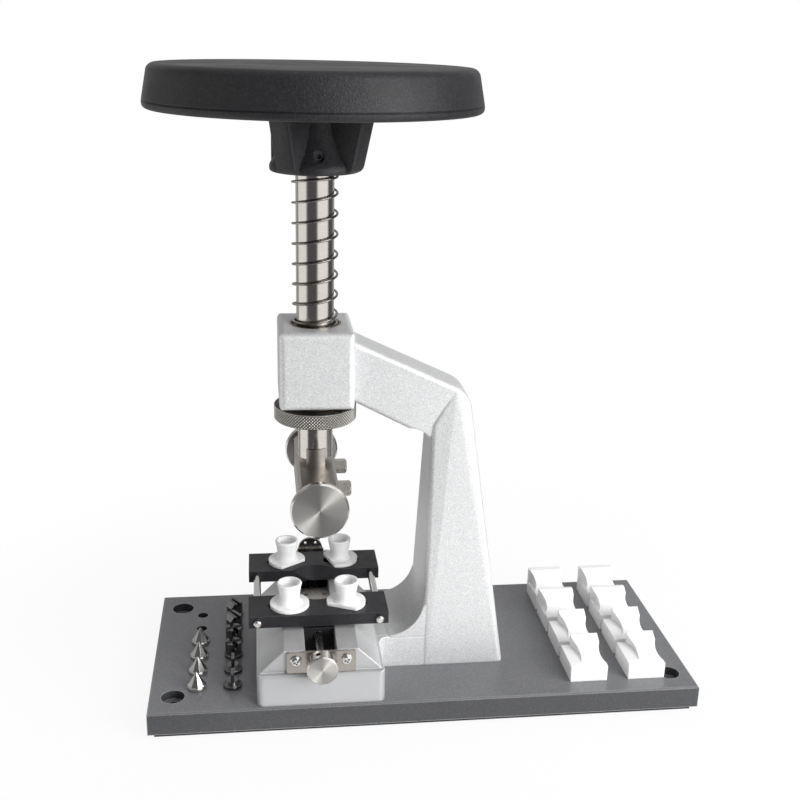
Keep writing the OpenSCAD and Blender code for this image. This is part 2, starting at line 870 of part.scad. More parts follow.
function spring_rise(t) = t < 1 ? t * close_rise
    : t < turns - 1 ? close_rise + (t - 1) * open_rise
    : close_rise + open_turns * open_rise + (t - turns + 1) * close_rise;
function spring_point(t) = [ax + spring_r * cos(360 * t + spring_turn),
    spring_r * sin(360 * t + spring_turn), spring_low + spring_rise(t)];
coil = [for (i = [0:turns * curl_rings]) spring_point(i / curl_rings)];
spring_path = concat([coil[0] - [0, 0, wire_d]], coil, [coil[len(coil) - 1] + [0, 0, wire_d]]);

function unit(v) = v / norm(v);
function step_way(p, i) = unit(p[i + 1] - p[i]);
function path_way(p, i) = i == 0 ? step_way(p, 0)
    : i == len(p) - 1 ? step_way(p, i - 1)
    : unit(step_way(p, i - 1) + step_way(p, i));
function tube_ring(p, i, r, n) = let (w = path_way(p, i),
    out = unit([p[i][0] - ax, p[i][1], 0]),
    side = unit(cross(w, out)), lift = cross(side, w))
    [for (k = [0:n - 1]) p[i] + r * (cos(360 * k / n) * side + sin(360 * k / n) * lift)];
function tube_skin(m, n) = [for (i = [0:m - 2], k = [0:n - 1], h = [0, 1])
    let (a = i * n + k, b = i * n + (k + 1) % n)
    h == 0 ? [a, b, b + n] : [a, b + n, a + n]];

spring_rings = [for (i = [0:len(spring_path) - 1]) tube_ring(spring_path, i, wire_d / 2, tube_sides)];
spring_points = [for (ring = spring_rings, p = ring) p];

// Least gap of the wire to the next turn, measured between points one turn apart
spring_gap = min([for (i = [0:len(coil) - 1 - curl_rings]) norm(coil[i + curl_rings] - coil[i])]) - wire_d;
echo("least gap of the spring to itself", spring_gap);

module return_spring() {
    m = len(spring_rings);
    n = tube_sides;
    caps = concat([for (k = [1:n - 2]) [0, k + 1, k]],
        [for (k = [1:n - 2]) [(m - 1) * n, (m - 1) * n + k, (m - 1) * n + k + 1]]);
    color([0.3, 0.3, 0.3])
    polyhedron(points = spring_points, faces = concat(tube_skin(m, n), caps));
}

/* Chuck */

holder_w = slot_w - 2 * bore_fit - 0.2;
holder_top = chuck_top - roof_t - 0.2;
holder_z = chuck_z + 0.2;

module chuck_body() {
    half = chuck_l / 2;
    color([0.6, 0.58, 0.55])
    translate([ax, 0, 0])
        difference() {
            union() {
                translate([0, half, chuck_z])
                    rotate([90, 0, 0])
                        linear_extrude(chuck_l)
                            polygon([[-chuck_w / 2, 0], [chuck_w / 2, 0], [chuck_w / 2, chuck_h - 1.4],
                                [chuck_w / 2 - 1.4, chuck_h], [-chuck_w / 2 + 1.4, chuck_h],
                                [-chuck_w / 2, chuck_h - 1.4]]);
                intersection() {
                    translate([0, 0, chuck_top - fuse])
                        cylinder(d = spindle_end_d, h = tenon_h + fuse);
                    translate([-tenon_w / 2, -spindle_end_d, chuck_top - fuse])
                        cube([tenon_w, 2 * spindle_end_d, tenon_h + fuse]);
                }
            }
            translate([-slot_w / 2, -half + end_t, chuck_z - 1])
                cube([slot_w, chuck_l - 2 * end_t, chuck_h - roof_t + 1]);
            translate([0, 0, screw_z])
                y_rod(screw_d + 2 * bore_fit, -half - 1, half + 1);
            for (s = [-1, 1])
                translate([slot_w / 2 - 1, s * (claw_y + (claw_out - claw_in) / 2), screw_z])
                    rotate([0, 90, 0])
                        y_slot(clamp_d + 0.5, claw_in + claw_out + clamp_d + 0.6, chuck_w);
            translate([0, 0, pin_z])
                x_rod(pin_d, -spindle_d, spindle_d);
        }
}

module chuck_pin() {
    color([0.5, 0.5, 0.5])
    translate([ax, 0, pin_z])
        x_rod(pin_d, -spindle_end_d / 2 + 0.3, spindle_end_d / 2 - 0.3);
}

module adjusting_screw() {
    reach = chuck_l / 2 + disc_gap + disc_t - 1;
    color([0.7, 0.69, 0.66])
    translate([ax, 0, screw_z])
        y_rod(screw_d, -reach, reach);
}

// Disc on the end of the adjusting screw, with a short hub towards the chuck body
module thumb_disc(s) {
    y0 = chuck_l / 2 + 0.2;
    y1 = chuck_l / 2 + disc_gap;
    color([0.68, 0.67, 0.64])
    translate([ax, 0, screw_z])
        rotate([s * 90, 0, 0])
            difference() {
                rotate_extrude()
                    polygon([[0, y0], [5, y0], [5, y1], [disc_d / 2 - 0.5, y1], [disc_d / 2, y1 + 0.5],
                        [disc_d / 2, y1 + disc_t - 0.5], [disc_d / 2 - 0.5, y1 + disc_t], [0, y1 + disc_t]]);
                translate([0, 0, y0 - 1])
                    cylinder(d = screw_d, h = disc_gap + disc_t);
            }
}

module front_thumb_disc() {
    thumb_disc(1);
}

module rear_thumb_disc() {
    thumb_disc(-1);
}

module claw_holder(s) {
    color([0.45, 0.45, 0.46])
    translate([ax, s * claw_y, 0])
        difference() {
            translate([-holder_w / 2, -holder_l / 2, holder_z])
                cube([holder_w, holder_l, holder_top - holder_z]);
            translate([0, 0, screw_z])
                y_rod(screw_d + 2 * bore_fit, -holder_l, holder_l);
            translate([0, 0, holder_z - 1])
                cylinder(d = shank_d, h = 1 + socket_t);
            translate([0, 0, screw_z])
                x_rod(clamp_d, screw_d / 2 + 0.2, holder_w);
        }
}

socket_t = screw_z - screw_d / 2 - holder_z - 1;

module front_claw_holder() {
    claw_holder(-1);
}

module rear_claw_holder() {
    claw_holder(1);
}

// Turned claw: shank in the holder, round collar, and a tip milled to a blade
module claw(s) {
    tip = chuck_z - claw_l;
    color([0.33, 0.33, 0.34])
    translate([ax, s * claw_y, 0])
        union() {
            translate([0, 0, holder_z - fuse])
                cylinder(d = shank_d, h = socket_t + fuse - 0.2);
            translate([0, 0, holder_z - 5])
                bevel_rod(9, 5 - 0.05, 0.6);
            intersection() {
                translate([0, 0, tip])
                    cylinder(r1 = 2, r2 = 4.2, h = holder_z - 4 - tip);
                translate([-1.5, -6, tip])
                    cube([3, 12, holder_z - 4 - tip]);
            }
        }
}

module front_claw() {
    claw(-1);
}

module rear_claw() {
    claw(1);
}

// Hex headed screw through the side slot of the chuck body into the holder
module clamp_screw(s) {
    x0 = chuck_w / 2 + 0.2;
    color([0.6, 0.6, 0.59])
    translate([ax, s * claw_y, screw_z]) {
        x_rod(clamp_d, screw_d / 2 + 0.6, x0 + fuse);
        intersection() {
            translate([x0, 0, 0])
                rotate([0, 90, 0])
                    rotate([0, 0, 30])
                        cylinder(r = clamp_head / 2 / cos(30), h = clamp_head_l, $fn = 6);
            translate([x0, 0, 0])
                rotate([0, 90, 0])
                    bevel_rod(clamp_head / cos(30), clamp_head_l, 0.8);
        }
    }
}

module front_clamp_screw() {
    clamp_screw(-1);
}

module rear_clamp_screw() {
    clamp_screw(1);
}

/* Vice */

// Plate with rounded corners that closes the channel
module front_cover_plate() {
    h = rail_h - foot_h - 0.2;
    color([0.62, 0.6, 0.56])
    difference() {
        translate([ax, foot_y, ledge_z + h / 2 + 0.05])
            rotate([90, 0, 0])
                linear_extrude(cover_t)
                    round_rect(cover_w, h, 1.2);
        translate([ax, 0, lead_z])
            y_rod(lead_neck_d + 2 * bore_fit, foot_y - cover_t - 1, foot_y + 1);
        for (s = [-1, 1])
            translate([ax + s * cover_pitch / 2, 0, lead_z])
                y_rod(cover_screw_d, foot_y - cover_t - 1, foot_y + 1);
    }
}

module cover_screws() {
    head_d = 5.8;
    head_t = 1.6;
    color([0.8, 0.8, 0.8])
    for (s = [-1, 1])
        translate([ax + s * cover_pitch / 2, foot_y - cover_t, lead_z])
            rotate([90, 0, 0])
                difference() {
                    union() {
                        translate([0, 0, -cover_t - cover_screw_in])
                            cylinder(d = cover_screw_d, h = cover_t + cover_screw_in + fuse);
                        rotate_extrude()
                            polygon([[0, 0], [head_d / 2, 0], [head_d / 2, 0.6],
                                [head_d / 2 - 0.7, head_t - 0.3], [head_d / 4, head_t], [0, head_t]]);
                    }
                    rotate([0, 0, 20])
                        translate([0, 0, head_t - 0.8])
                            cross_recess(0.8, 3, 1);
                }
}

// Steel plate that closes the channel's tail, with a half round lug on top
module rear_end_plate() {
    t = 1.6;
    w = channel_w - 0.4;
    lug_r = 7.2;
    y0 = tail_back + 0.1;
    color([0.6, 0.6, 0.58])
    translate([ax, 0, 0])
        difference() {
            union() {
                translate([-w / 2, y0, rail_z - channel_t - 2])
                    cube([w, t, channel_t + 2.9]);
                translate([0, 0, rail_z - 0.1])
                    y_rod(2 * lug_r, y0 + t - skin, y0 + 2 * t);
            }
            translate([0, 0, lead_z])
                y_rod(lead_neck_d + 2 * bore_fit, y0 - 1, y0 + 2 * t + 1);
            for (s = [-1, 1])
                translate([s * 3, 0, rail_z + 4])
                    y_rod(1.6, y0 - 1, y0 + 2 * t + 1);
        }
}

// Fixed bearing for the middle of the lead screw, flush in the channel
module centre_bearing() {
    top = rail_z - 0.9;
    color([0.6, 0.6, 0.58])
    translate([ax, mid_back, 0])
        difference() {
            translate([-slider_w / 2, -mid_l / 2, rail_z - channel_t])
                cube([slider_w, mid_l, top - rail_z + channel_t]);
            translate([0, 0, lead_z])
                y_rod(lead_d + 2 * bore_fit, -mid_l, mid_l);
            for (s = [-1, 1])
                translate([s * 5.1, 0, top - 2])
                    cylinder(d = 2.8, h = 4);
        }
}

// Screw with a left handed and a right handed half, shown plain, and a thin neck at each end
module lead_screw() {
    color([0.66, 0.65, 0.62])
    translate([ax, 0, lead_z])
        union() {
            y_rod(lead_d, front_slider_y[0] + 1.6, tail_back - 0.2);
            y_rod(lead_neck_d, knob_end + 1.5, front_slider_y[0] + 2);
            y_rod(lead_neck_d, tail_back - 1, tail_back + 3);
        }
}

// Knob with a hub against the cover plate and a hole for its grub screw on top
module lead_knob() {
    gap = 0.2;
    hub_r = knob_d * 0.28;
    back = -foot_y + cover_t + gap;
    color([0.7, 0.68, 0.65])
    translate([ax, 0, lead_z])
        rotate([90, 0, 0])
            difference() {
                rotate_extrude()
                    polygon([[0, back], [hub_r, back], [hub_r, -knob_y],
                        [knob_d / 2 - 0.4, -knob_y], [knob_d / 2, -knob_y + 0.4],
                        [knob_d / 2, -knob_end - 0.7], [knob_d / 2 - 0.7, -knob_end],
                        [0, -knob_end]]);
                translate([0, 0, -foot_y])
                    cylinder(d = lead_neck_d, h = foot_y - knob_end - 1.5);
                translate([0, 0, -knob_y + knob_l * 0.5])
                    rotate([0, 0, 105])
                        x_rod(2.6, lead_neck_d / 2 - 0.5, knob_d);
            }
}

// Jaw with rods' bores, two stepped stud slots and a round recess towards the middle
module jaw(s) {
    color([0.12, 0.12, 0.13])
    translate([ax, s * jaw_y, jaw_z])
        difference() {
            translate([-jaw_l / 2, -jaw_w / 2, 0])
                cube([jaw_l, jaw_w, jaw_t]);
            translate([0, -s * (jaw_w / 2 - scoop_t + scoop_r), -1])
                cylinder(r1 = scoop_r - jaw_t - 1.1, r2 = scoop_r + 0.9, h = jaw_t + 2);
            for (sx = [-1, 1]) {
                translate([sx * rod_pitch / 2, 0, jaw_t / 2])
                    y_rod(s < 0 ? rod_d + 2 * bore_fit : rod_d, -jaw_w, jaw_w);
                translate([sx * (stud_x + (stud_out - stud_in) / 2), 0, 0])
                    rotate([0, 0, 90]) {
                        translate([0, 0, -1])
                            y_slot(stud_slot, stud_in + stud_out + stud_slot, jaw_t + 2);
                        translate([-nut_slot / 2, -(stud_in + stud_out + nut_slot + 1) / 2, -1])
                            cube([nut_slot, stud_in + stud_out + nut_slot + 1, nut_t + 1]);
                    }
            }
        }
}

module front_jaw() {
    jaw(-1);
}

module rear_jaw() {
    jaw(1);
}

// Black block in the channel, from y[0] to y[1], with a pad on top that carries a jaw
module slider(y, pad_y) {
    sink = 1.2;
    color([0.1, 0.1, 0.11])
    translate([ax, 0, 0])
        difference() {
            union() {
                translate([-slider_w / 2, y[0], slider_z])
                    cube([slider_w, y[1] - y[0], slider_top - slider_z]);
                translate([-slider_w / 2 + 0.6, pad_y[0], slider_top - fuse])
                    cube([slider_w - 1.2, pad_y[1] - pad_y[0], jaw_z - slider_top + fuse]);
            }
            translate([0, 0, lead_z])
                y_rod(lead_d + 2 * bore_fit, y[0] - 1, y[1] + 1);
            translate([0, y[0] + sink, lead_z])
                rotate([90, 0, 0])
                    cylinder(r1 = lead_d / 2 - 0.1, r2 = lead_d / 2 + 2 * sink + 0.1, h = 2 * sink + 0.2);
        }
}

module front_slider() {
    slider(front_slider_y, [-jaw_y - jaw_w / 2 + 4, -jaw_y + jaw_w / 2 - scoop_t - 1]);
}

module rear_slider() {
    slider(rear_slider_y, [rear_slider_y[0] + 0.5, jaw_y + jaw_w / 2 - 4]);
}

module guide_rods() {
    y0 = -jaw_y - jaw_w / 2 - rod_out;
    color([0.75, 0.75, 0.75])
    for (s = [-1, 1])
        translate([ax + s * rod_pitch / 2, y0, jaw_z + jaw_t / 2])
            rotate([-90, 0, 0])
                bevel_rod(rod_d, jaw_y + jaw_w / 2 - y0, 0.7);
}

function stud_place(sx, sy) = [ax + sx * stud_x, sy * jaw_y, jaw_z];

// Square nut in the slot's wide part, with the post that the stud turns on
module stud_nut(sx, sy) {
    side = nut_slot - 0.4;
    color([0.5, 0.5, 0.5])
    translate(stud_place(sx, sy)) {
        translate([-side / 2, -side / 2, 0.3])
            cube([side, side, nut_t - 0.6]);
        translate([0, 0, 0.3])
            cylinder(d = post_d, h = jaw_t + post_up - 0.3);
    }
}

// Nylon stud: thin round flange with an optional flat, waisted body and hollow flared cup
module stud(sx, sy, flat_turn) {
    waist = waist_d / 2;
    cup = cup_d / 2;
    wall = 1.3;
    color([0.95, 0.95, 0.94])
    translate(stud_place(sx, sy) + [0, 0, jaw_t + 0.1])
        difference() {
            union() {
                cylinder(d = stud_flange, h = stud_flange_t);
                rotate_extrude()
                    polygon([[0, 0], [waist + 1.6, stud_flange_t], [waist + 0.5, stud_flange_t + 1],
                        [waist, stud_flange_t + 2.4], [waist, stud_h * 0.46], [cup - 0.7, stud_h * 0.72],
                        [cup, stud_h - 0.5], [cup - 0.3, stud_h], [cup - wall, stud_h],
                        [cup - wall - 0.6, stud_h - 4], [0, stud_h - 5.4]]);
            }
            if (flat_turn != undef)
                rotate([0, 0, flat_turn])
                    translate([stud_flat, -stud_flange, -1])
                        cube([stud_flange, 2 * stud_flange, stud_flange_t + 1.01]);
            translate([0, 0, -1])
                cylinder(d = post_d + 2 * bore_fit, h = 1 + post_up + 0.1);
        }
}

module stud_nut_front_left() {
    stud_nut(-1, -1);
}

module stud_nut_front_right() {
    stud_nut(1, -1);
}

module stud_nut_rear_left() {
    stud_nut(-1, 1);
}

module stud_nut_rear_right() {
    stud_nut(1, 1);
}

module stud_front_left() {
    stud(-1, -1, undef);
}

module stud_front_right() {
    stud(1, -1, -115);
}

module stud_rear_left() {
    stud(-1, 1, -55);
}

module stud_rear_right() {
    stud(1, 1, -160);
}

/* Stored bits and case blocks */

function bit_place(row, i) = [bit_x + row * row_pitch, bit_row_y(i), deck];

module bit_base() {
    translate([0, 0, -bit_hole_t + 0.3])
        cylinder(d = bit_shank, h = bit_hole_t - 0.3 + fuse);
    rotate_extrude()
        polygon([[0, 0], [bit_d / 2 - 0.5, 0], [bit_d / 2, 0.5], [bit_d / 2, bit_flange_t - 0.5],
            [bit_d / 2 - 0.5, bit_flange_t], [0, bit_flange_t]]);
}

// Centre point with eight flat sides
module cone_bit(i) {
    color([0.8, 0.8, 0.8])
    translate(bit_place(0, i)) {
        bit_base();
        translate([0, 0, bit_flange_t - skin])
            rotate([0, 0, 11])
                cylinder(r1 = bit_d / 2 - 0.3, r2 = 0.3, h = cone_h, $fn = 8);
    }
}

module cone_bit_1() {
    cone_bit(2);
}

module cone_bit_2() {
    cone_bit(3);
}

module cone_bit_3() {
    cone_bit(4);
}

module cone_bit_4() {
    cone_bit(5);
}

// Wide blade with a slot across it
module slotted_bit(i) {
    color([0.22, 0.22, 0.23])
    translate(bit_place(1, i)) {
        bit_base();
        rotate([0, 0, 35])
            difference() {
                intersection() {
                    translate([0, 0, bit_flange_t - skin])
                        cylinder(d = bit_d - 0.8, h = head_bit_h);
                    translate([0, 8, bit_flange_t - skin])
                        rotate([90, 0, 0])
                            linear_extrude(16)
                                polygon([[-4, 0], [4, 0], [4, head_bit_h * 0.5], [2.6, head_bit_h],
                                    [-2.6, head_bit_h], [-4, head_bit_h * 0.5]]);
                }
                translate([-0.9, -8, bit_flange_t + head_bit_h - 2.6])
                    cube([1.8, 16, 4]);
            }
    }
}

module slotted_bit_1() {
    slotted_bit(0);
}

module slotted_bit_2() {
    slotted_bit(1);
}

// Crown with four pointed teeth round a centre hole
module crown_bit(i) {
    color([0.22, 0.22, 0.23])
    translate(bit_place(1, i)) {
        bit_base();
        difference() {
            translate([0, 0, bit_flange_t - skin])
                cylinder(d = bit_d - 1, h = head_bit_h);
            translate([0, 0, bit_flange_t + head_bit_h - 3.6])
                cylinder(d = 3.4, h = 5);
            for (a = [20, 110])
                rotate([0, 0, a])
                    translate([0, 8, bit_flange_t + head_bit_h])
                        rotate([90, 0, 0])
                            linear_extrude(16)
                                polygon([[-1.8, 1], [-0.3, -3], [0.3, -3], [1.8, 1]]);
        }
    }
}

module crown_bit_1() {
    crown_bit(2);
}

module crown_bit_2() {
    crown_bit(3);
}

// Narrow blade on a coned shoulder
module blade_bit(i) {
    color([0.22, 0.22, 0.23])
    translate(bit_place(1, i)) {
        bit_base();
        translate([0, 0, bit_flange_t - skin])
            cylinder(r1 = bit_d / 2 - 0.8, r2 = 3, h = 2);
        translate([-0.8, -3.2, bit_flange_t])
            cube([1.6, 6.4, head_bit_h]);
    }
}

module blade_bit_1() {
    blade_bit(4);
}

module blade_bit_2() {
    blade_bit(5);
}

// Blocks are numbered from the back, left row first
function block_place(i) = [block_x + floor(i / 4) * block_row,
    (1.5 - i % 4) * block_pitch];

// Nylon block: hollowed sloping top, round cut beside the low step, scalloped right side
module case_block(i) {
    row = i % 4;
    w = block_w;
    d = block_d;
    low = row > 1;
    top_r = 34 + 4 * row;
    bite_r = 13 + 1.5 * row;
    shelf = low ? block_low : block_low - 1;
    color([0.96, 0.96, 0.95])
    translate([block_place(i)[0], block_place(i)[1], deck])
        difference() {
            union() {
                translate([-w / 2, -d / 2, 0])
                    cube([w, d, block_h]);
                translate([0, 0, -peg_l])
                    cylinder(d = peg_d, h = peg_l + fuse);
            }
            translate([0, -d / 2 - 2, block_low + top_r - (low ? 0.4 : 0)])
                x_rod(2 * top_r, -w, w);
            if (low) {
                translate([-w / 2 - 1, -d, shelf])
                    cube([step_w + 1, 2 * d, block_h]);
                translate([-w / 2 + step_w - bite_r + 2.6, 0, shelf])
                    cylinder(r = bite_r, h = block_h);
            } else {
                translate([-w / 2 - bite_r + 2.4, 1, shelf])
                    cylinder(r = bite_r, h = block_h);
            }
            translate([w / 2 + bite_r - 1.6, -1, block_low * 0.55])
                cylinder(r = bite_r, h = block_h);
        }
}

module case_block_1() {
    case_block(0);
}

module case_block_2() {
    case_block(1);
}

module case_block_3() {
    case_block(2);
}

module case_block_4() {
    case_block(3);
}

module case_block_5() {
    case_block(4);
}

module case_block_6() {
    case_block(5);
}

module case_block_7() {
    case_block(6);
}

module case_block_8() {
    case_block(7);
}

base_plate();
rubber_mat();
frame_casting();
frame_bolts();
upper_bush();
lower_bush();
front_cover_plate();
cover_screws();
rear_end_plate();
centre_bearing();
cone_bit_1();
cone_bit_2();
cone_bit_3();
cone_bit_4();
slotted_bit_1();
slotted_bit_2();
crown_bit_1();
crown_bit_2();
blade_bit_1();
blade_bit_2();
case_block_1();
case_block_2();
case_block_3();
case_block_4();
case_block_5();
case_block_6();
case_block_7();
case_block_8();
spindle();
handwheel();
stop_collar();
set_screws();
chuck_body();
chuck_pin();
return_spring();
adjusting_screw();
front_thumb_disc();
rear_thumb_disc();
front_claw_holder();
front_claw();
front_clamp_screw();
rear_claw_holder();
rear_claw();
rear_clamp_screw();
lead_screw();
lead_knob();
front_jaw();
front_slider();
rear_jaw();
rear_slider();
guide_rods();
stud_nut_front_left();
stud_nut_front_right();
stud_nut_rear_left();
stud_nut_rear_right();
stud_front_left();
stud_front_right();
stud_rear_left();
stud_rear_right();
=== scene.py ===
"""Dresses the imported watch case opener: a finish for every piece, and the finer shapes of the
handwheel, knurled collar, spring, thumb discs and knob."""
import math

import bmesh
import bpy
from mathutils import Matrix, Vector


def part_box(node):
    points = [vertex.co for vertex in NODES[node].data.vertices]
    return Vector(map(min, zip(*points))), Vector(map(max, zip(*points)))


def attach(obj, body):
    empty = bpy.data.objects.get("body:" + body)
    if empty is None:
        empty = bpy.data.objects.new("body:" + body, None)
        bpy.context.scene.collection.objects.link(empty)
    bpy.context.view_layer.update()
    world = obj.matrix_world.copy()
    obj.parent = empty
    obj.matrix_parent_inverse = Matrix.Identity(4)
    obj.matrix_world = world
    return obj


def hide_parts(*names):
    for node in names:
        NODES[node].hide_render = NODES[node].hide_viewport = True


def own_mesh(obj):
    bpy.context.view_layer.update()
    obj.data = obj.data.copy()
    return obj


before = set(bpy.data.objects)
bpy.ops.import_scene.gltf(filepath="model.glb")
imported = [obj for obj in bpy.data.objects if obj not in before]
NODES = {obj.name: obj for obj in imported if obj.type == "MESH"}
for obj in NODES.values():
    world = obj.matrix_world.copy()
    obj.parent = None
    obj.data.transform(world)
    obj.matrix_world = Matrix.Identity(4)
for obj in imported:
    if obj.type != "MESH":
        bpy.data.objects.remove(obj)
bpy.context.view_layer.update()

MM = 0.001


def middle(node):
    low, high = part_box(node)
    return (low + high) / 2


AXIS_X = middle("spindle").x
SCREW_Z = middle("adjusting_screw").z
LEAD_Z = middle("lead_screw").z


# Nodes, for materials and for the world

class Nodes:
    """Short way to add, fill and link the nodes of a tree."""

    def __init__(self, tree):
        self.tree = tree

    def fill(self, node, inputs):
        """Gives each input a value, or a link where an output stands for it."""
        for key, value in inputs.items():
            if isinstance(value, bpy.types.NodeSocket):
                self.tree.links.new(value, node.inputs[key])
            else:
                node.inputs[key].default_value = value

    def add(self, kind, inputs=None, **options):
        """A new node with its options and inputs set."""
        node = self.tree.nodes.new(kind)
        for key, value in options.items():
            setattr(node, key, value)
        self.fill(node, inputs or {})
        return node

    def math(self, operation, a, b=0.0):
        return self.add("ShaderNodeMath", {0: a, 1: b}, operation=operation).outputs[0]

    def vector(self, operation, *values):
        """Vector maths: a vector, or a number for a length or a dot product."""
        node = self.add("ShaderNodeVectorMath", dict(enumerate(values)), operation=operation)
        return node.outputs["Value" if operation in ("LENGTH", "DOT_PRODUCT") else "Vector"]

    def ramp(self, value, low, high, to_low=0.0, to_high=1.0, kind="LINEAR"):
        """Goes from to_low to to_high as the value goes from low to high, and stays there."""
        return self.add("ShaderNodeMapRange", {"Value": value, "From Min": low, "From Max": high,
            "To Min": to_low, "To Max": to_high}, interpolation_type=kind).outputs[0]

    def smooth(self, value, low, high, to_low=0.0, to_high=1.0):
        return self.ramp(value, low, high, to_low, to_high, kind="SMOOTHSTEP")

    def band(self, value, rise, full, fade, end):
        """1 from full to fade, and 0 before rise and past end."""
        return self.math("MULTIPLY", self.smooth(value, rise, full),
            self.smooth(value, fade, end, 1, 0))


# Finishes. Texture scales are per metre.

FLAKES = 2300
GRAIN = 1500
PAINT_EDGE = 0.9 * MM
MARKS = (0.45, 0.75)    # the noise range over which tool marks turn darker
RINGS = 5200
BEVEL_SAMPLES = 6


class Finish(Nodes):
    """A Principled material whose textures are laid out in the row frame, in metres."""

    def __init__(self, name, colour, rough, metallic=0.0, **sockets):
        self.mat = bpy.data.materials.new(name)
        self.mat.use_nodes = True
        super().__init__(self.mat.node_tree)
        self.shader = self.tree.nodes["Principled BSDF"]
        self.base = (*colour, 1)
        self.fill(self.shader, {"Base Color": self.base, "Metallic": metallic,
            "Roughness": rough, **sockets})
        self.place = self.add("ShaderNodeTexCoord").outputs["Object"]
        self.relief = None

    def noise(self, scale, detail=2, place=None):
        return self.add("ShaderNodeTexNoise", {"Vector": place or self.place, "Scale": scale,
            "Detail": detail}).outputs["Fac"]

    def cells(self, scale):
        """A random brightness for each small cell, as metal flakes have."""
        node = self.add("ShaderNodeTexVoronoi", {"Vector": self.place, "Scale": scale})
        return self.add("ShaderNodeSeparateColor", {"Color": node.outputs["Color"]}).outputs[0]

    def stretched(self, x, y, z):
        """The place with each axis scaled, for marks that run in one direction."""
        return self.vector("MULTIPLY", self.place, (x, y, z))

    def distance_from(self, centre, axis):
        """Distance from an axis through centre along X, Y or Z, in metres."""
        across = [0.0 if letter == axis else 1.0 for letter in "XYZ"]
        return self.vector("LENGTH",
            self.vector("MULTIPLY", self.vector("SUBTRACT", self.place, centre), across))

    def rounded(self, radius):
        """The normal that the surface would have with its edges rounded."""
        return self.add("ShaderNodeBevel", {"Radius": radius},
            samples=BEVEL_SAMPLES).outputs["Normal"]

    def edge_highlight_mask(self, radius):
        """0 on flats, more on edges, for a painted highlight along them."""
        true = self.add("ShaderNodeNewGeometry").outputs["True Normal"]
        return self.math("SUBTRACT", 1.0, self.vector("DOT_PRODUCT", self.rounded(radius), true))

    def tint(self, fac, other, low, high):
        """Takes the base colour so far to another as fac goes from low to high."""
        mix = self.add("ShaderNodeMix", {0: self.ramp(fac, low, high), 6: self.base,
            7: (*other, 1)}, data_type="RGBA")
        self.base = mix.outputs[2]
        self.fill(self.shader, {"Base Color": self.base})

    def gloss(self, fac, rough_low, rough_high, low=0.3, high=0.7):
        self.fill(self.shader, {"Roughness": self.ramp(fac, low, high, rough_low, rough_high)})

    def set_relief(self, normal):
        self.relief = normal
        self.fill(self.shader, {"Normal": normal})

    def soft_edges(self, radius):
        """Rounds the look of sharp edges, under any relief added later."""
        self.set_relief(self.rounded(radius))

    def bump(self, fac, depth):
        """Relief of the given depth in metres, added to what is there."""
        node = self.add("ShaderNodeBump", {"Height": fac, "Distance": depth})
        if self.relief:
            self.fill(node, {"Normal": self.relief})
        self.set_relief(node.outputs["Normal"])


def times(colour, share):
    return tuple(c * share for c in colour)


def plate_paint():
    """Grey paint with painted shade on upright faces and painted light on flats and edges."""
    f = Finish("plate_paint", (0.05, 0.051, 0.055), rough=0.42, metallic=0.2,
        **{"Coat Weight": 0.35, "Coat Roughness": 0.16})
    normal = f.add("ShaderNodeTexCoord").outputs["Normal"]
    # Painted light and shade: the flatter a face lies, the lighter it and its flakes are painted,
    # and upright faces stay dark.
    flat = f.math("ABSOLUTE", f.add("ShaderNodeSeparateXYZ", {0: normal}).outputs[2])
    flakes = f.cells(FLAKES)
    f.tint(flakes, (0.085, 0.086, 0.092), 0.6, 1.2)
    f.tint(flat, (0.165, 0.167, 0.176), 0.3, 0.9)
    f.tint(f.math("MULTIPLY", flat, flakes), (0.3, 0.303, 0.32), 0.7, 1.3)
    # Painted highlight along the edges.
    f.tint(f.edge_highlight_mask(PAINT_EDGE), (0.42, 0.42, 0.43), 0.03, 0.2)
    f.gloss(f.noise(60), 0.35, 0.45)
    f.bump(f.noise(GRAIN, detail=3), 0.04 * MM)
    return f.mat


def casting_paint():
    """Silver paint with flakes, painted shade at the foot's front and painted light on edges."""
    f = Finish("casting_paint", (0.7, 0.705, 0.71), rough=0.45, metallic=0.5)
    flakes = f.cells(FLAKES)
    f.tint(flakes, (0.86, 0.862, 0.867), 0.5, 1.0)
    f.tint(f.noise(FLAKES, detail=1), (0.56, 0.563, 0.57), 0.5, 0.68)
    # Painted shade: darker towards the front of the foot, from Y = -36 mm to -54 mm.
    y = f.add("ShaderNodeSeparateXYZ", {0: f.place}).outputs[1]
    f.tint(y, (0.5, 0.503, 0.51), -36 * MM, -54 * MM)
    # Painted highlight along the edges.
    f.tint(f.edge_highlight_mask(PAINT_EDGE), (0.97, 0.97, 0.97), 0.04, 0.2)
    f.gloss(flakes, 0.34, 0.56, low=0.0, high=1.0)
    f.soft_edges(PAINT_EDGE)
    f.bump(f.noise(1900), 0.035 * MM)
    f.bump(f.noise(120, detail=1), 0.08 * MM)
    return f.mat


def rubber():
    f = Finish("mat_rubber", (0.022, 0.022, 0.023), rough=0.8)
    f.tint(f.noise(400), (0.04, 0.04, 0.04), 0.4, 0.8)
    f.bump(f.noise(GRAIN, detail=3), 0.05 * MM)
    return f.mat


def wheel_moulding():
    f = Finish("wheel_moulding", (0.014, 0.0135, 0.015), rough=0.45,
        **{"Specular IOR Level": 0.4})
    f.tint(f.noise(900, detail=3), (0.024, 0.024, 0.027), 0.45, 0.72)
    f.gloss(f.noise(45), 0.38, 0.5)
    f.soft_edges(0.8 * MM)
    f.bump(f.noise(GRAIN, detail=3), 0.22 * MM)
    return f.mat


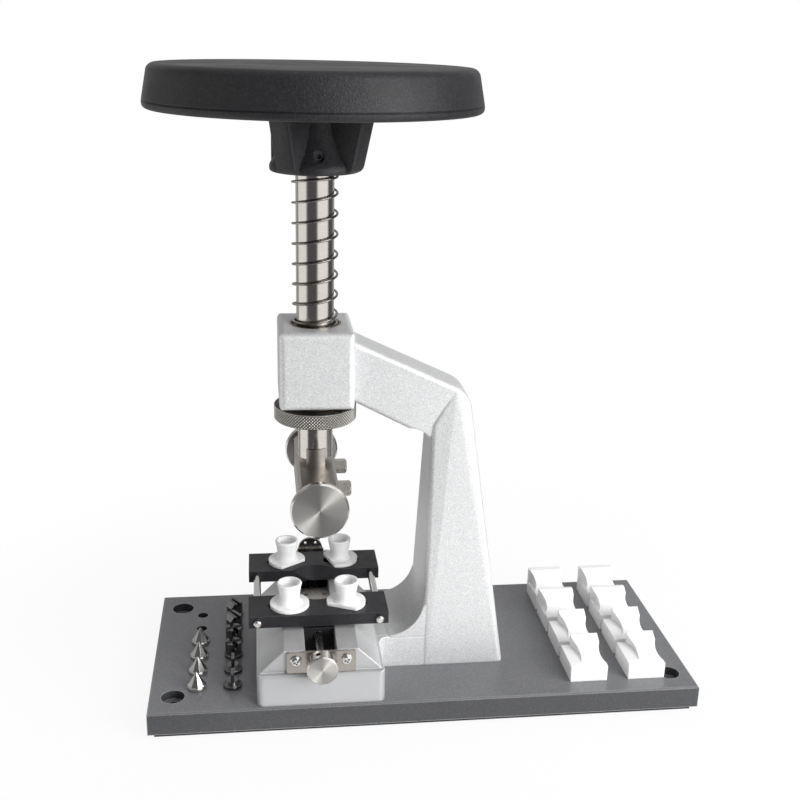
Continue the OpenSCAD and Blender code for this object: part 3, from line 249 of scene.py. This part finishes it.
def metal(name, colour, rough, marks, darker=0.8, depth=0.004, edge=0.25, stain=0.85):
    """Machined metal. marks gives the texture's scale along X, Y and Z, darker and stain the
    shares of the colour, and depth and edge are in millimetres."""
    f = Finish(name, colour, rough, metallic=1.0)
    lines = f.noise(1, place=f.stretched(*marks))
    f.tint(lines, times(colour, darker), *MARKS)
    f.tint(f.noise(260, detail=4), times(colour, stain), 0.5, 0.75)
    f.gloss(lines, rough * 0.85, rough * 1.35, high=0.75)
    f.soft_edges(edge * MM)
    f.bump(lines, depth * MM)
    return f.mat


def turned_face(name, colour, rough, centre, axis):
    """Fine rings round an axis, with the fan of light that they give."""
    f = Finish(name, colour, rough, metallic=1.0, Anisotropic=1.0,
        **{"Anisotropic Rotation": 0.25})
    across = f.math("MULTIPLY", f.distance_from(centre, axis), RINGS)
    line = f.add("ShaderNodeCombineXYZ", {0: across, 1: 0.0, 2: 0.0}).outputs[0]
    rings = f.noise(1, detail=3, place=line)
    f.tint(rings, times(colour, 0.88), *MARKS)
    f.gloss(rings, rough * 0.94, rough * 1.1, high=0.75)
    f.bump(rings, 0.0008 * MM)
    tangent = f.add("ShaderNodeTangent", direction_type="RADIAL", axis=axis).outputs[0]
    f.fill(f.shader, {"Tangent": tangent})
    return f.mat


def knurled():
    """Nickel with painted shade in the grooves between the knurl's points."""
    # Painted shade: the base colour is the dark of the grooves, and the crests take the nickel's
    # own colour.
    f = Finish("knurled_nickel", (0.09, 0.085, 0.078), rough=0.36, metallic=1.0)
    low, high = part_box("stop_collar")
    crest = (high.x - low.x) / 2
    f.tint(f.distance_from((AXIS_X, 0, 0), "Z"), (0.93, 0.9, 0.86),
        crest - 0.4 * MM, crest - 0.18 * MM)
    f.tint(f.noise(700), (0.6, 0.57, 0.54), 0.6, 0.85)
    f.gloss(f.noise(900), 0.42, 0.52)
    f.bump(f.noise(GRAIN), 0.004 * MM)
    return f.mat


def nylon():
    f = Finish("white_nylon", (0.87, 0.868, 0.865), rough=0.42, **{"Subsurface Weight": 0.45,
        "Subsurface Scale": 2.5 * MM, "Subsurface Radius": (1.0, 0.97, 0.94)})
    f.gloss(f.noise(120, detail=3), 0.38, 0.52)
    f.soft_edges(0.4 * MM)
    f.bump(f.noise(700), 0.02 * MM)
    return f.mat


def black_oxide():
    f = Finish("black_oxide", (0.02, 0.019, 0.022), rough=0.42, metallic=0.3)
    f.tint(f.noise(900, detail=3), (0.033, 0.031, 0.036), 0.4, 0.7)
    # Painted highlight along the edges.
    f.tint(f.edge_highlight_mask(0.4 * MM), (0.13, 0.125, 0.135), 0.1, 0.35)
    f.gloss(f.noise(150), 0.36, 0.5)
    f.bump(f.noise(1, place=f.stretched(500, 3200, 900)), 0.01 * MM)
    return f.mat


NICKEL = (0.66, 0.63, 0.59)
STEEL = (0.55, 0.53, 0.5)
TURNED = (0.72, 0.7, 0.67)
FINISHES = {
    "plate_paint": plate_paint(),
    "casting_paint": casting_paint(),
    "rubber": rubber(),
    "wheel": wheel_moulding(),
    "nylon": nylon(),
    "black_oxide": black_oxide(),
    "spindle": metal("ground_spindle", NICKEL, 0.16, (260, 260, 4200), darker=0.88,
        depth=0.0015, stain=0.92),
    "nickel": metal("satin_nickel", NICKEL, 0.27, (1400, 1400, 1400)),
    "knurl": knurled(),
    "bar": metal("milled_bar", (0.5, 0.465, 0.43), 0.32, (2600, 200, 2600)),
    "steel": metal("machined_steel", STEEL, 0.26, (1200, 1200, 1200)),
    "bright": metal("bright_steel", (0.78, 0.77, 0.75), 0.13, (700, 700, 2600), depth=0.002),
    "gunmetal": metal("gunmetal", (0.2, 0.2, 0.205), 0.2, (900, 900, 1800), darker=0.6),
    "bronze": metal("bush_bronze", (0.36, 0.3, 0.24), 0.35, (1400, 1400, 1400)),
    "wire": metal("spring_wire", (0.36, 0.34, 0.32), 0.24, (900, 900, 900), depth=0.001,
        edge=0.05),
    "disc": turned_face("disc_face", (0.64, 0.625, 0.605), 0.41, (AXIS_X, 0, SCREW_Z), "Y"),
    "disc_edge": metal("disc_edge", TURNED, 0.14, (900, 4000, 900), depth=0.002, edge=0.05),
    "knob_side": metal("knob_side", TURNED, 0.22, (3200, 120, 3200), depth=0.006, edge=0.05),
    "knob": turned_face("knob_face", TURNED, 0.36, (AXIS_X, 0, LEAD_Z), "Y"),
}

WEARS = {
    "base_plate": "plate_paint", "rubber_mat": "rubber", "frame_casting": "casting_paint",
    "frame_bolts": "black_oxide", "upper_bush": "bronze", "lower_bush": "bronze",
    "front_cover_plate": "bar", "cover_screws": "bright", "rear_end_plate": "nickel",
    "centre_bearing": "nickel", "spindle": "spindle", "handwheel": "wheel",
    "stop_collar": "knurl", "set_screws": "black_oxide", "chuck_body": "bar",
    "chuck_pin": "steel", "return_spring": "wire", "adjusting_screw": "steel",
    "front_thumb_disc": "disc_edge", "rear_thumb_disc": "disc_edge", "lead_screw": "steel",
    "lead_knob": "disc_edge", "front_jaw": "black_oxide", "rear_jaw": "black_oxide",
    "front_slider": "black_oxide", "rear_slider": "black_oxide", "guide_rods": "bright",
}
# For the other nodes, the first word that the name holds
BY_WORD = [("cone_bit", "bright"), ("_bit_", "gunmetal"), ("case_block", "nylon"),
    ("stud_nut", "steel"), ("stud_", "nylon"), ("claw_holder", "steel"),
    ("clamp_screw", "nickel"), ("_claw", "gunmetal")]


def finish_of(node):
    if node in WEARS:
        return FINISHES[WEARS[node]]
    return FINISHES[next(look for word, look in BY_WORD if word in node)]


for name, obj in NODES.items():
    obj.data.materials.clear()
    obj.data.materials.append(finish_of(name))


# Pieces made here. Sizes are in millimetres until a piece is linked.

CREASE = 32             # degrees: sharper edges stay sharp
WELD = 1e-4
HOLE_SIDES = 40
SET_SCREW_HOLE = 2.5    # radius
FACING = 0.95           # part of a normal along the axis, from which a face wears the turned look


def arc(centre, radius, start, end, steps):
    """Points on a circle in a profile, angles in degrees."""
    angles = [math.radians(start + (end - start) * i / steps) for i in range(steps + 1)]
    return [(centre[0] + radius * math.cos(a), centre[1] + radius * math.sin(a)) for a in angles]


def skin(loops):
    """Mesh data of closed profiles of (radius, height) pairs at equal angles round Z."""
    count, n = len(loops), len(loops[0])
    verts, faces = [], []
    for i, loop in enumerate(loops):
        angle = math.tau * i / count
        verts += [(r * math.cos(angle), r * math.sin(angle), h) for r, h in loop]
        a, b = i * n, (i + 1) % count * n
        faces += [(a + k, b + k, b + (k + 1) % n, a + (k + 1) % n) for k in range(n)]
    return verts, faces


def revolve(profile, steps):
    """Mesh data of one closed profile turned round Z."""
    return skin([profile] * steps)


def mesh_of(data):
    """A bmesh from (verts, faces), with doubles on the axis removed."""
    verts, faces = data
    bm = bmesh.new()
    made = [bm.verts.new(v) for v in verts]
    for face in faces:
        bm.faces.new([made[i] for i in face])
    bmesh.ops.remove_doubles(bm, verts=bm.verts, dist=WELD)
    bmesh.ops.recalc_face_normals(bm, faces=bm.faces)
    return bm


def slab(outline, thickness, soft, segments=3):
    """Plate with the outline in X and Z, its thickness along Y, and the edges of both its
    faces rounded."""
    bm = bmesh.new()
    near = [bm.verts.new((x, -thickness / 2, z)) for x, z in outline]
    far = [bm.verts.new((x, thickness / 2, z)) for x, z in outline]
    n = len(outline)
    rims = [bm.faces.new(near), bm.faces.new(list(reversed(far)))]
    for i in range(n):
        bm.faces.new((near[i], far[i], far[(i + 1) % n], near[(i + 1) % n]))
    bmesh.ops.recalc_face_normals(bm, faces=bm.faces)
    edges = list({e for f in rims for e in f.edges})
    bmesh.ops.bevel(bm, geom=edges, offset=soft, segments=segments, profile=0.5,
        affect="EDGES", clamp_overlap=True)
    return bm


def joined(*meshes):
    """One bmesh from (bmesh, turn) pairs, which are used up."""
    whole = bmesh.new()
    for bm, turn in meshes:
        bm.transform(turn)
        spare = bpy.data.meshes.new("spare")
        bm.to_mesh(spare)
        whole.from_mesh(spare)
        bpy.data.meshes.remove(spare)
        bm.free()
    return whole


def shade(mesh, crease):
    mesh.shade_smooth()
    mesh.set_sharp_from_angle(angle=math.radians(crease))


def place_piece(name, bm, place, body, node, finish, crease=CREASE, face_finish=None):
    """Links a bmesh in millimetres at a place in metres, riding on a body instead of a CAD
    node. With face_finish, faces across the Y axis wear that."""
    bm.transform(Matrix.Translation(Vector(place)) @ Matrix.Scale(MM, 4))
    mesh = bpy.data.meshes.new(name)
    bm.to_mesh(mesh)
    bm.free()
    shade(mesh, crease)
    mesh.materials.append(FINISHES[finish])
    if face_finish:
        mesh.materials.append(FINISHES[face_finish])
        for face in mesh.polygons:
            if abs(face.normal.y) > FACING:
                face.material_index = 1
    obj = bpy.data.objects.new(name, mesh)
    bpy.context.collection.objects.link(obj)
    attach(obj, body)
    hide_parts(node)
    return obj


def turned(axis):
    """Turn that takes Z to the given direction."""
    return Vector((0, 0, 1)).rotation_difference(Vector(axis)).to_matrix().to_4x4()


def bore(obj, centre, axis, radius, length):
    """Cuts a round hole, sizes in millimetres from the row's origin."""
    bm = bmesh.new()
    bmesh.ops.create_cone(bm, cap_ends=True, segments=HOLE_SIDES, radius1=radius * MM,
        radius2=radius * MM, depth=length * MM)
    bm.transform(Matrix.Translation(Vector(centre) * MM) @ turned(axis))
    mesh = bpy.data.meshes.new("cutter")
    bm.to_mesh(mesh)
    bm.free()
    cutter = bpy.data.objects.new("cutter", mesh)
    bpy.context.collection.objects.link(cutter)
    cut = obj.modifiers.new("bore", "BOOLEAN")
    cut.operation = "DIFFERENCE"
    cut.object = cutter
    cut.solver = "EXACT"
    cut.use_self = True
    graph = bpy.context.evaluated_depsgraph_get()
    whole = bpy.data.meshes.new_from_object(obj.evaluated_get(graph), depsgraph=graph)
    obj.modifiers.clear()
    old, obj.data = obj.data, whole
    whole.name = obj.name
    bpy.data.meshes.remove(old)
    bpy.data.objects.remove(cutter)
    bpy.data.meshes.remove(mesh)
    shade(whole, CREASE)


def make_handwheel():
    """Wheel with a groove round its rim, a hollow underside with four spokes, and a flared hub
    with four ribs. Heights are above the hub's lower end."""
    low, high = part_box("handwheel")
    rim = (high.x - low.x) / 2 / MM
    under, ceiling, top = 29.0, 40.0, 49.4
    hollow_in, hollow_out = 34.5, 72.7
    lip, shoulder, narrower = 2.4, 4.2, 2.5
    groove = [(rim, under + 3.3), (rim - 0.55, under + 3.4), (rim - 0.55, under + 3.9),
        (rim - 0.08, under + 4.0)]
    wheel = revolve([(0, under - 1), (hollow_in - 1, under - 1), (hollow_in, under),
        (hollow_in, ceiling - 1), (hollow_in + 1, ceiling), (hollow_out - 1, ceiling),
        (hollow_out, ceiling - 1), (hollow_out, under + 0.6), (hollow_out + 0.6, under)]
        + arc((rim - lip, under + lip), lip, -90, 0, 6) + groove
        + arc((rim - narrower - shoulder, top - shoulder), shoulder, 4, 90, 8)
        + [(30, top), (0, top)], 160)
    bore_radius, bore_end, root = 9.5, 25, under + 0.3
    hub = revolve([(bore_radius, 0)] + arc((20.6, 1.4), 1.4, -90, 0, 4) + [(22, 3.0),
        (21.5, 4.2), (20.1, 6.2), (18.4, 8.9), (16.8, 12.0), (15.4, 15.6), (14.3, 19.6),
        (13.6, 24), (13.3, root), (0, root), (0, bore_end), (bore_radius, bore_end)], 96)

    def rib(nose, reach):
        return [(10, 0.3)] + nose + [(reach, under + 0.4), (10, under + 0.4)]

    flared = rib(arc((20.3, 5.3), 5, -90, -14, 6), 31.3)
    upright = rib(arc((19, 3.8), 3.5, -90, 0, 6), 22.5)
    spoke = [(20, under), (hollow_out + 1, under), (hollow_out + 1, ceiling + 1),
        (20, ceiling + 1)]
    rib_width, spoke_width, first_rib = 11, 4, -37
    back = (1, 2)
    parts = [(mesh_of(wheel), Matrix.Identity(4)), (mesh_of(hub), Matrix.Identity(4))]
    for quarter in range(4):
        turn = Matrix.Rotation(math.radians(90 * quarter + first_rib), 4, "Z")
        parts.append((slab(upright if quarter in back else flared, rib_width, 1.0), turn))
        parts.append((slab(spoke, spoke_width, 0.6, 2), turn))
    wheel = place_piece("wheel_moulding", joined(*parts), (AXIS_X, 0, low.z), "spindle",
        "handwheel", finish="wheel")
    screw_turn, screw_height, screw_reach = math.radians(-87), 8.7, 17.5
    way = Vector((math.cos(screw_turn), math.sin(screw_turn), 0))
    bore(wheel, Vector((AXIS_X / MM, 0, low.z / MM + screw_height)) + screw_reach * way, way,
        SET_SCREW_HOLE, 16)


def make_collar():
    """Ring with a diamond knurl between two bevels."""
    low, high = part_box("stop_collar")
    radius, tall = (high.x - low.x) / 2 / MM, (high.z - low.z) / MM
    teeth, share, depth = 82, 4, 0.5
    plain_ends = 1.3
    columns = teeth * share
    step = math.tau * radius / columns
    rows = int((tall - plain_ends) / step)
    start = (tall - rows * step) / 2

    def ridge(i):
        """1 on a ridge, and 0 half a tooth on."""
        return 1 - abs(2 * ((i / share) % 1) - 1)

    lower = [(9.05, 0.3), (9.35, 0), (radius - 0.75, 0), (radius - 0.15, start - 0.1)]
    upper = [(r, tall - h) for r, h in reversed(lower)]
    loops = []
    for i in range(columns):
        knurl = [(radius - depth * (1 - min(ridge(i + j), ridge(i - j))), start + j * step)
            for j in range(rows + 1)]
        loops.append(lower + knurl + upper)
    ring = place_piece("knurled_collar", mesh_of(skin(loops)), (AXIS_X, 0, low.z), "spindle",
        "stop_collar", finish="knurl", crease=24)
    bore(ring, (AXIS_X / MM, 15.5, (low.z + high.z) / 2 / MM), (0, 1, 0), SET_SCREW_HOLE, 15)


def tube(points, radius, sides):
    """Mesh data of round wire along points, with flat ends."""
    last = len(points) - 1
    ways = [(points[min(i + 1, last)] - points[max(i - 1, 0)]).normalized()
        for i in range(len(points))]
    side = ways[0].cross(Vector((0, 0, 1))).normalized()
    verts = []
    for point, way in zip(points, ways):
        side = (side - way * side.dot(way)).normalized()
        lift = way.cross(side)
        for k in range(sides):
            a = math.tau * k / sides
            verts.append(point + radius * (math.cos(a) * side + math.sin(a) * lift))
    faces = []
    for i in range(last):
        a, b = i * sides, (i + 1) * sides
        faces += [(a + k, a + (k + 1) % sides, b + (k + 1) % sides, b + k)
            for k in range(sides)]
    faces += [tuple(reversed(range(sides))), tuple(range(last * sides, (last + 1) * sides))]
    return verts, faces


def make_spring():
    """Wire in one smooth coil, on the same turns as the solid, its end turns wound flat."""
    low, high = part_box("return_spring")
    past = 0.05         # beyond the solid at each end
    seat, tall = low.z / MM - past, (high.z - low.z) / MM + 2 * past
    coil, wire, turns = 11, 1.2, 9
    close = 3.15        # height at which an end turn is left
    first_turn = 250    # degrees
    per_turn, blend = 40, 4

    def rise(t):
        """Height of the wire's middle after t turns."""
        t = min(max(t, 0), turns)
        lowest = wire / 2 + past
        if t < 1:
            return lowest + (close - lowest) * t
        if t > turns - 1:
            return tall - rise(turns - t)
        return close + (t - 1) * (tall - 2 * close) / (turns - 2)

    points = []
    for i in range(turns * per_turn + 1):
        t = i / per_turn
        near = [rise(t + d / per_turn) for d in range(-blend, blend + 1)]
        a = math.radians(360 * t + first_turn)
        points.append(Vector((coil * math.cos(a), coil * math.sin(a),
            seat - low.z / MM + sum(near) / len(near))))
    spring = place_piece("spring_wire", mesh_of(tube(points, wire / 2, 12)),
        (AXIS_X, 0, low.z), "spring_end", "return_spring", finish="wire", crease=60)
    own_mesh(spring)


def make_disc(node, name, outward):
    """Thumb disc: turned faces, a bright bevel and a hub towards the chuck."""
    low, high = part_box(node)
    radius, tall, hub = (high.z - low.z) / 2 / MM, (high.y - low.y) / MM, 4.4
    inner, outer, back, front, wall = 3, 5, 0.7, 0.85, 0.8
    bm = mesh_of(revolve([(inner, 0.3), (inner + 0.3, 0), (outer - 0.3, 0), (outer, 0.3),
        (outer, hub), (radius - back, hub), (radius, hub + back), (radius, tall - front),
        (radius - front, tall), (0.4, tall), (0, tall - 0.25), (0, tall - wall),
        (inner, tall - wall)], 144))
    bm.transform(turned((0, outward, 0)))
    start = low.y if outward > 0 else high.y
    place_piece(name, bm, (AXIS_X, start, SCREW_Z), "chuck_screw", node, finish="disc_edge",
        crease=20, face_finish="disc")


def make_knob():
    """Knob: a turned face, a brushed side with a small hole, and a hub towards the stand."""
    low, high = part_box("lead_knob")
    radius, tall, hub = (high.z - low.z) / 2 / MM, (high.y - low.y) / MM, 3.2
    inner, outer, back, front, wall = 2.15, 4.37, 0.4, 0.7, 1.4
    bm = mesh_of(revolve([(inner, 0.2), (inner + 0.2, 0), (outer - 0.27, 0), (outer, 0.3),
        (outer, hub), (radius - back, hub), (radius, hub + back), (radius, tall - front),
        (radius - front, tall), (0.3, tall), (0, tall - 0.2), (0, tall - wall),
        (inner, tall - wall)], 128))
    bm.transform(turned((0, -1, 0)))
    knob = place_piece("turned_knob", bm, (AXIS_X, high.y, LEAD_Z), "vice_screw", "lead_knob",
        finish="knob_side", crease=20, face_finish="knob")
    hole_turn, hole_y, hole_reach = math.radians(105), 3.7, 6.2
    way = Vector((math.cos(hole_turn), 0, math.sin(hole_turn)))
    bore(knob, Vector((AXIS_X / MM, low.y / MM + hole_y, LEAD_Z / MM)) + hole_reach * way, way,
        1.3, 6.6)


make_handwheel()
make_collar()
make_spring()
make_disc("front_thumb_disc", "front_turned_disc", -1)
make_disc("rear_thumb_disc", "rear_turned_disc", 1)
make_knob()


# Camera, at the photograph's place

LENS_MM, SENSOR_MM = 50.525, 36
CAMERA_PLACE = Vector((-0.084238, -0.551087, 0.340754))
pitch, yaw, roll = (math.radians(v) for v in (18.306, 7.484, 1.361))


def matrix_from(place, right, up, forward):
    m = Matrix.Identity(4)
    for i, column in enumerate((right, up, -forward)):
        for j in range(3):
            m[j][i] = column[j]
    m.translation = place
    return m


forward = Vector((math.sin(yaw) * math.cos(pitch), math.cos(yaw) * math.cos(pitch),
    -math.sin(pitch)))
level = Vector((math.cos(yaw), -math.sin(yaw), 0))
upright = level.cross(forward)
camera = bpy.data.objects.new("camera", bpy.data.cameras.new("camera"))
camera.data.sensor_width = SENSOR_MM
camera.data.lens = LENS_MM
camera.data.clip_start = 0.01
camera.matrix_world = matrix_from(CAMERA_PLACE, level * math.cos(roll) + upright * math.sin(roll),
    upright * math.cos(roll) - level * math.sin(roll), forward)
bpy.context.collection.objects.link(camera)
bpy.context.scene.camera = camera


# Studio: pale floor, three soft lamps that don't show in reflections, and a room with darker
# and brighter areas and one window that do

WHITE = (1, 1, 1, 1)
# Directions of the bright areas, in degrees, and the window's heights, as band() takes them
RIGHT_AREA = (6, 18, 75, 87)
LEFT_AREA = (-127, -113, -61, -47)
LEFT_LIGHT = 0.95
WINDOW_ACROSS = (26, 36, 66, 76)
WINDOW_UP = (0.06, 0.14, 0.42, 0.54)
WINDOW_LIGHT = 3.7
# Metres from the origin
PLAIN_FLOOR = (0.16, 0.36)
ROOM_FLOOR = (0.1, 0.28)
FLOOR_HALF = 3.0
FLOOR_Z = -0.0002


def soft_lamp(name, place, aim, size, watts):
    lamp = bpy.data.lights.new(name, "AREA")
    lamp.shape = "RECTANGLE"
    lamp.size, lamp.size_y = size
    lamp.energy = watts
    obj = bpy.data.objects.new(name, lamp)
    obj.location = place
    obj.rotation_euler = (Vector(aim) - Vector(place)).to_track_quat("-Z", "Y").to_euler()
    obj.visible_glossy = False
    bpy.context.collection.objects.link(obj)


soft_lamp("right_box", (0.95, -0.82, 0.5), (AXIS_X, 0, 0.13), (1.15, 0.85), 20)
soft_lamp("left_box", (-1.2, -0.25, 0.2), (AXIS_X, 0, 0.1), (0.5, 0.4), 1.5)
soft_lamp("top", (-0.1, -0.1, 1.5), (0, 0, 0.1), (1.0, 0.8), 2)


def turn_of(n, x, y):
    """Degrees to the right of the direction towards the camera, -Y."""
    return n.math("MULTIPLY", n.math("ARCTAN2", x, n.math("MULTIPLY", y, -1.0)), 180 / math.pi)


def room_light(n, x, y, left=LEFT_LIGHT):
    """Light from the direction x, y: dim on the camera's side, half bright behind the object,
    with a bright area at each side."""
    turn = turn_of(n, x, y)
    light = n.smooth(n.math("ABSOLUTE", turn), 110, 150, 0.1, 0.5)
    for area, strength in ((RIGHT_AREA, 1.0), (LEFT_AREA, left)):
        light = n.math("ADD", light, n.math("MULTIPLY", n.band(turn, *area), strength))
    return light


def build_world():
    """The room with its window and a paler ceiling, and plain white for the camera alone."""
    world = bpy.data.worlds.new("studio")
    world.use_nodes = True
    bpy.context.scene.world = world
    n = Nodes(world.node_tree)
    way = n.add("ShaderNodeTexCoord").outputs["Generated"]
    x, y, z = n.add("ShaderNodeSeparateXYZ", {0: way}).outputs
    room = room_light(n, x, y, n.smooth(z, -0.05, 0.12, LEFT_LIGHT, 0.22))
    ceiling = n.math("MULTIPLY", n.smooth(z, 0.45, 0.95), 0.15)
    window = n.math("MULTIPLY", n.band(turn_of(n, x, y), *WINDOW_ACROSS), n.band(z, *WINDOW_UP))
    light = n.math("ADD", n.math("ADD", room, ceiling), n.math("MULTIPLY", window, WINDOW_LIGHT))
    colour = n.add("ShaderNodeCombineColor", {0: light, 1: light, 2: light}).outputs[0]
    path = n.add("ShaderNodeLightPath")
    mix = n.add("ShaderNodeMix", {0: path.outputs["Is Camera Ray"], 6: colour, 7: WHITE},
        data_type="RGBA")
    n.fill(n.tree.nodes["Background"], {0: mix.outputs[2], 1: 1.0})


def build_floor():
    """Pale floor that keeps the shadow near the object and goes to plain white further out.
    Reflections show it white near the object, and with the room's pattern further out."""
    mesh = bpy.data.meshes.new("floor")
    half = FLOOR_HALF
    mesh.from_pydata([(-half, -half, 0), (half, -half, 0), (half, half, 0), (-half, half, 0)],
        [], [(0, 1, 2, 3)])
    floor = bpy.data.objects.new("floor", mesh)
    floor.location.z = FLOOR_Z
    bpy.context.collection.objects.link(floor)
    mat = bpy.data.materials.new("floor")
    mat.use_nodes = True
    n = Nodes(mat.node_tree)
    shader = n.tree.nodes["Principled BSDF"]
    n.fill(shader, {"Base Color": (0.9, 0.9, 0.9, 1), "Roughness": 0.9})
    path = n.add("ShaderNodeLightPath")
    mirrored = path.outputs["Is Glossy Ray"]
    place = n.add("ShaderNodeTexCoord").outputs["Object"]
    away = n.vector("LENGTH", place)
    seen = n.math("MAXIMUM", path.outputs["Is Camera Ray"], n.math("MAXIMUM", mirrored,
        path.outputs["Is Transmission Ray"]))
    share = n.math("MULTIPLY", seen, n.smooth(away, *PLAIN_FLOOR, 0.9, 1.0))
    plain = n.add("ShaderNodeEmission").outputs[0]
    near = n.add("ShaderNodeMixShader", {0: share, 1: shader.outputs[0], 2: plain}).outputs[0]
    from_axis = n.vector("SUBTRACT", place, (AXIS_X, 0, 0))
    x, y = n.add("ShaderNodeSeparateXYZ", {0: from_axis}).outputs[:2]
    room = n.add("ShaderNodeEmission", {1: room_light(n, x, y)}).outputs[0]
    far = n.math("MULTIPLY", mirrored, n.smooth(away, *ROOM_FLOOR))
    mix = n.add("ShaderNodeMixShader", {0: far, 1: near, 2: room})
    n.fill(n.tree.nodes["Material Output"], {"Surface": mix.outputs[0]})
    mesh.materials.append(mat)


build_world()
build_floor()
bpy.context.scene.view_settings.view_transform = "Standard"
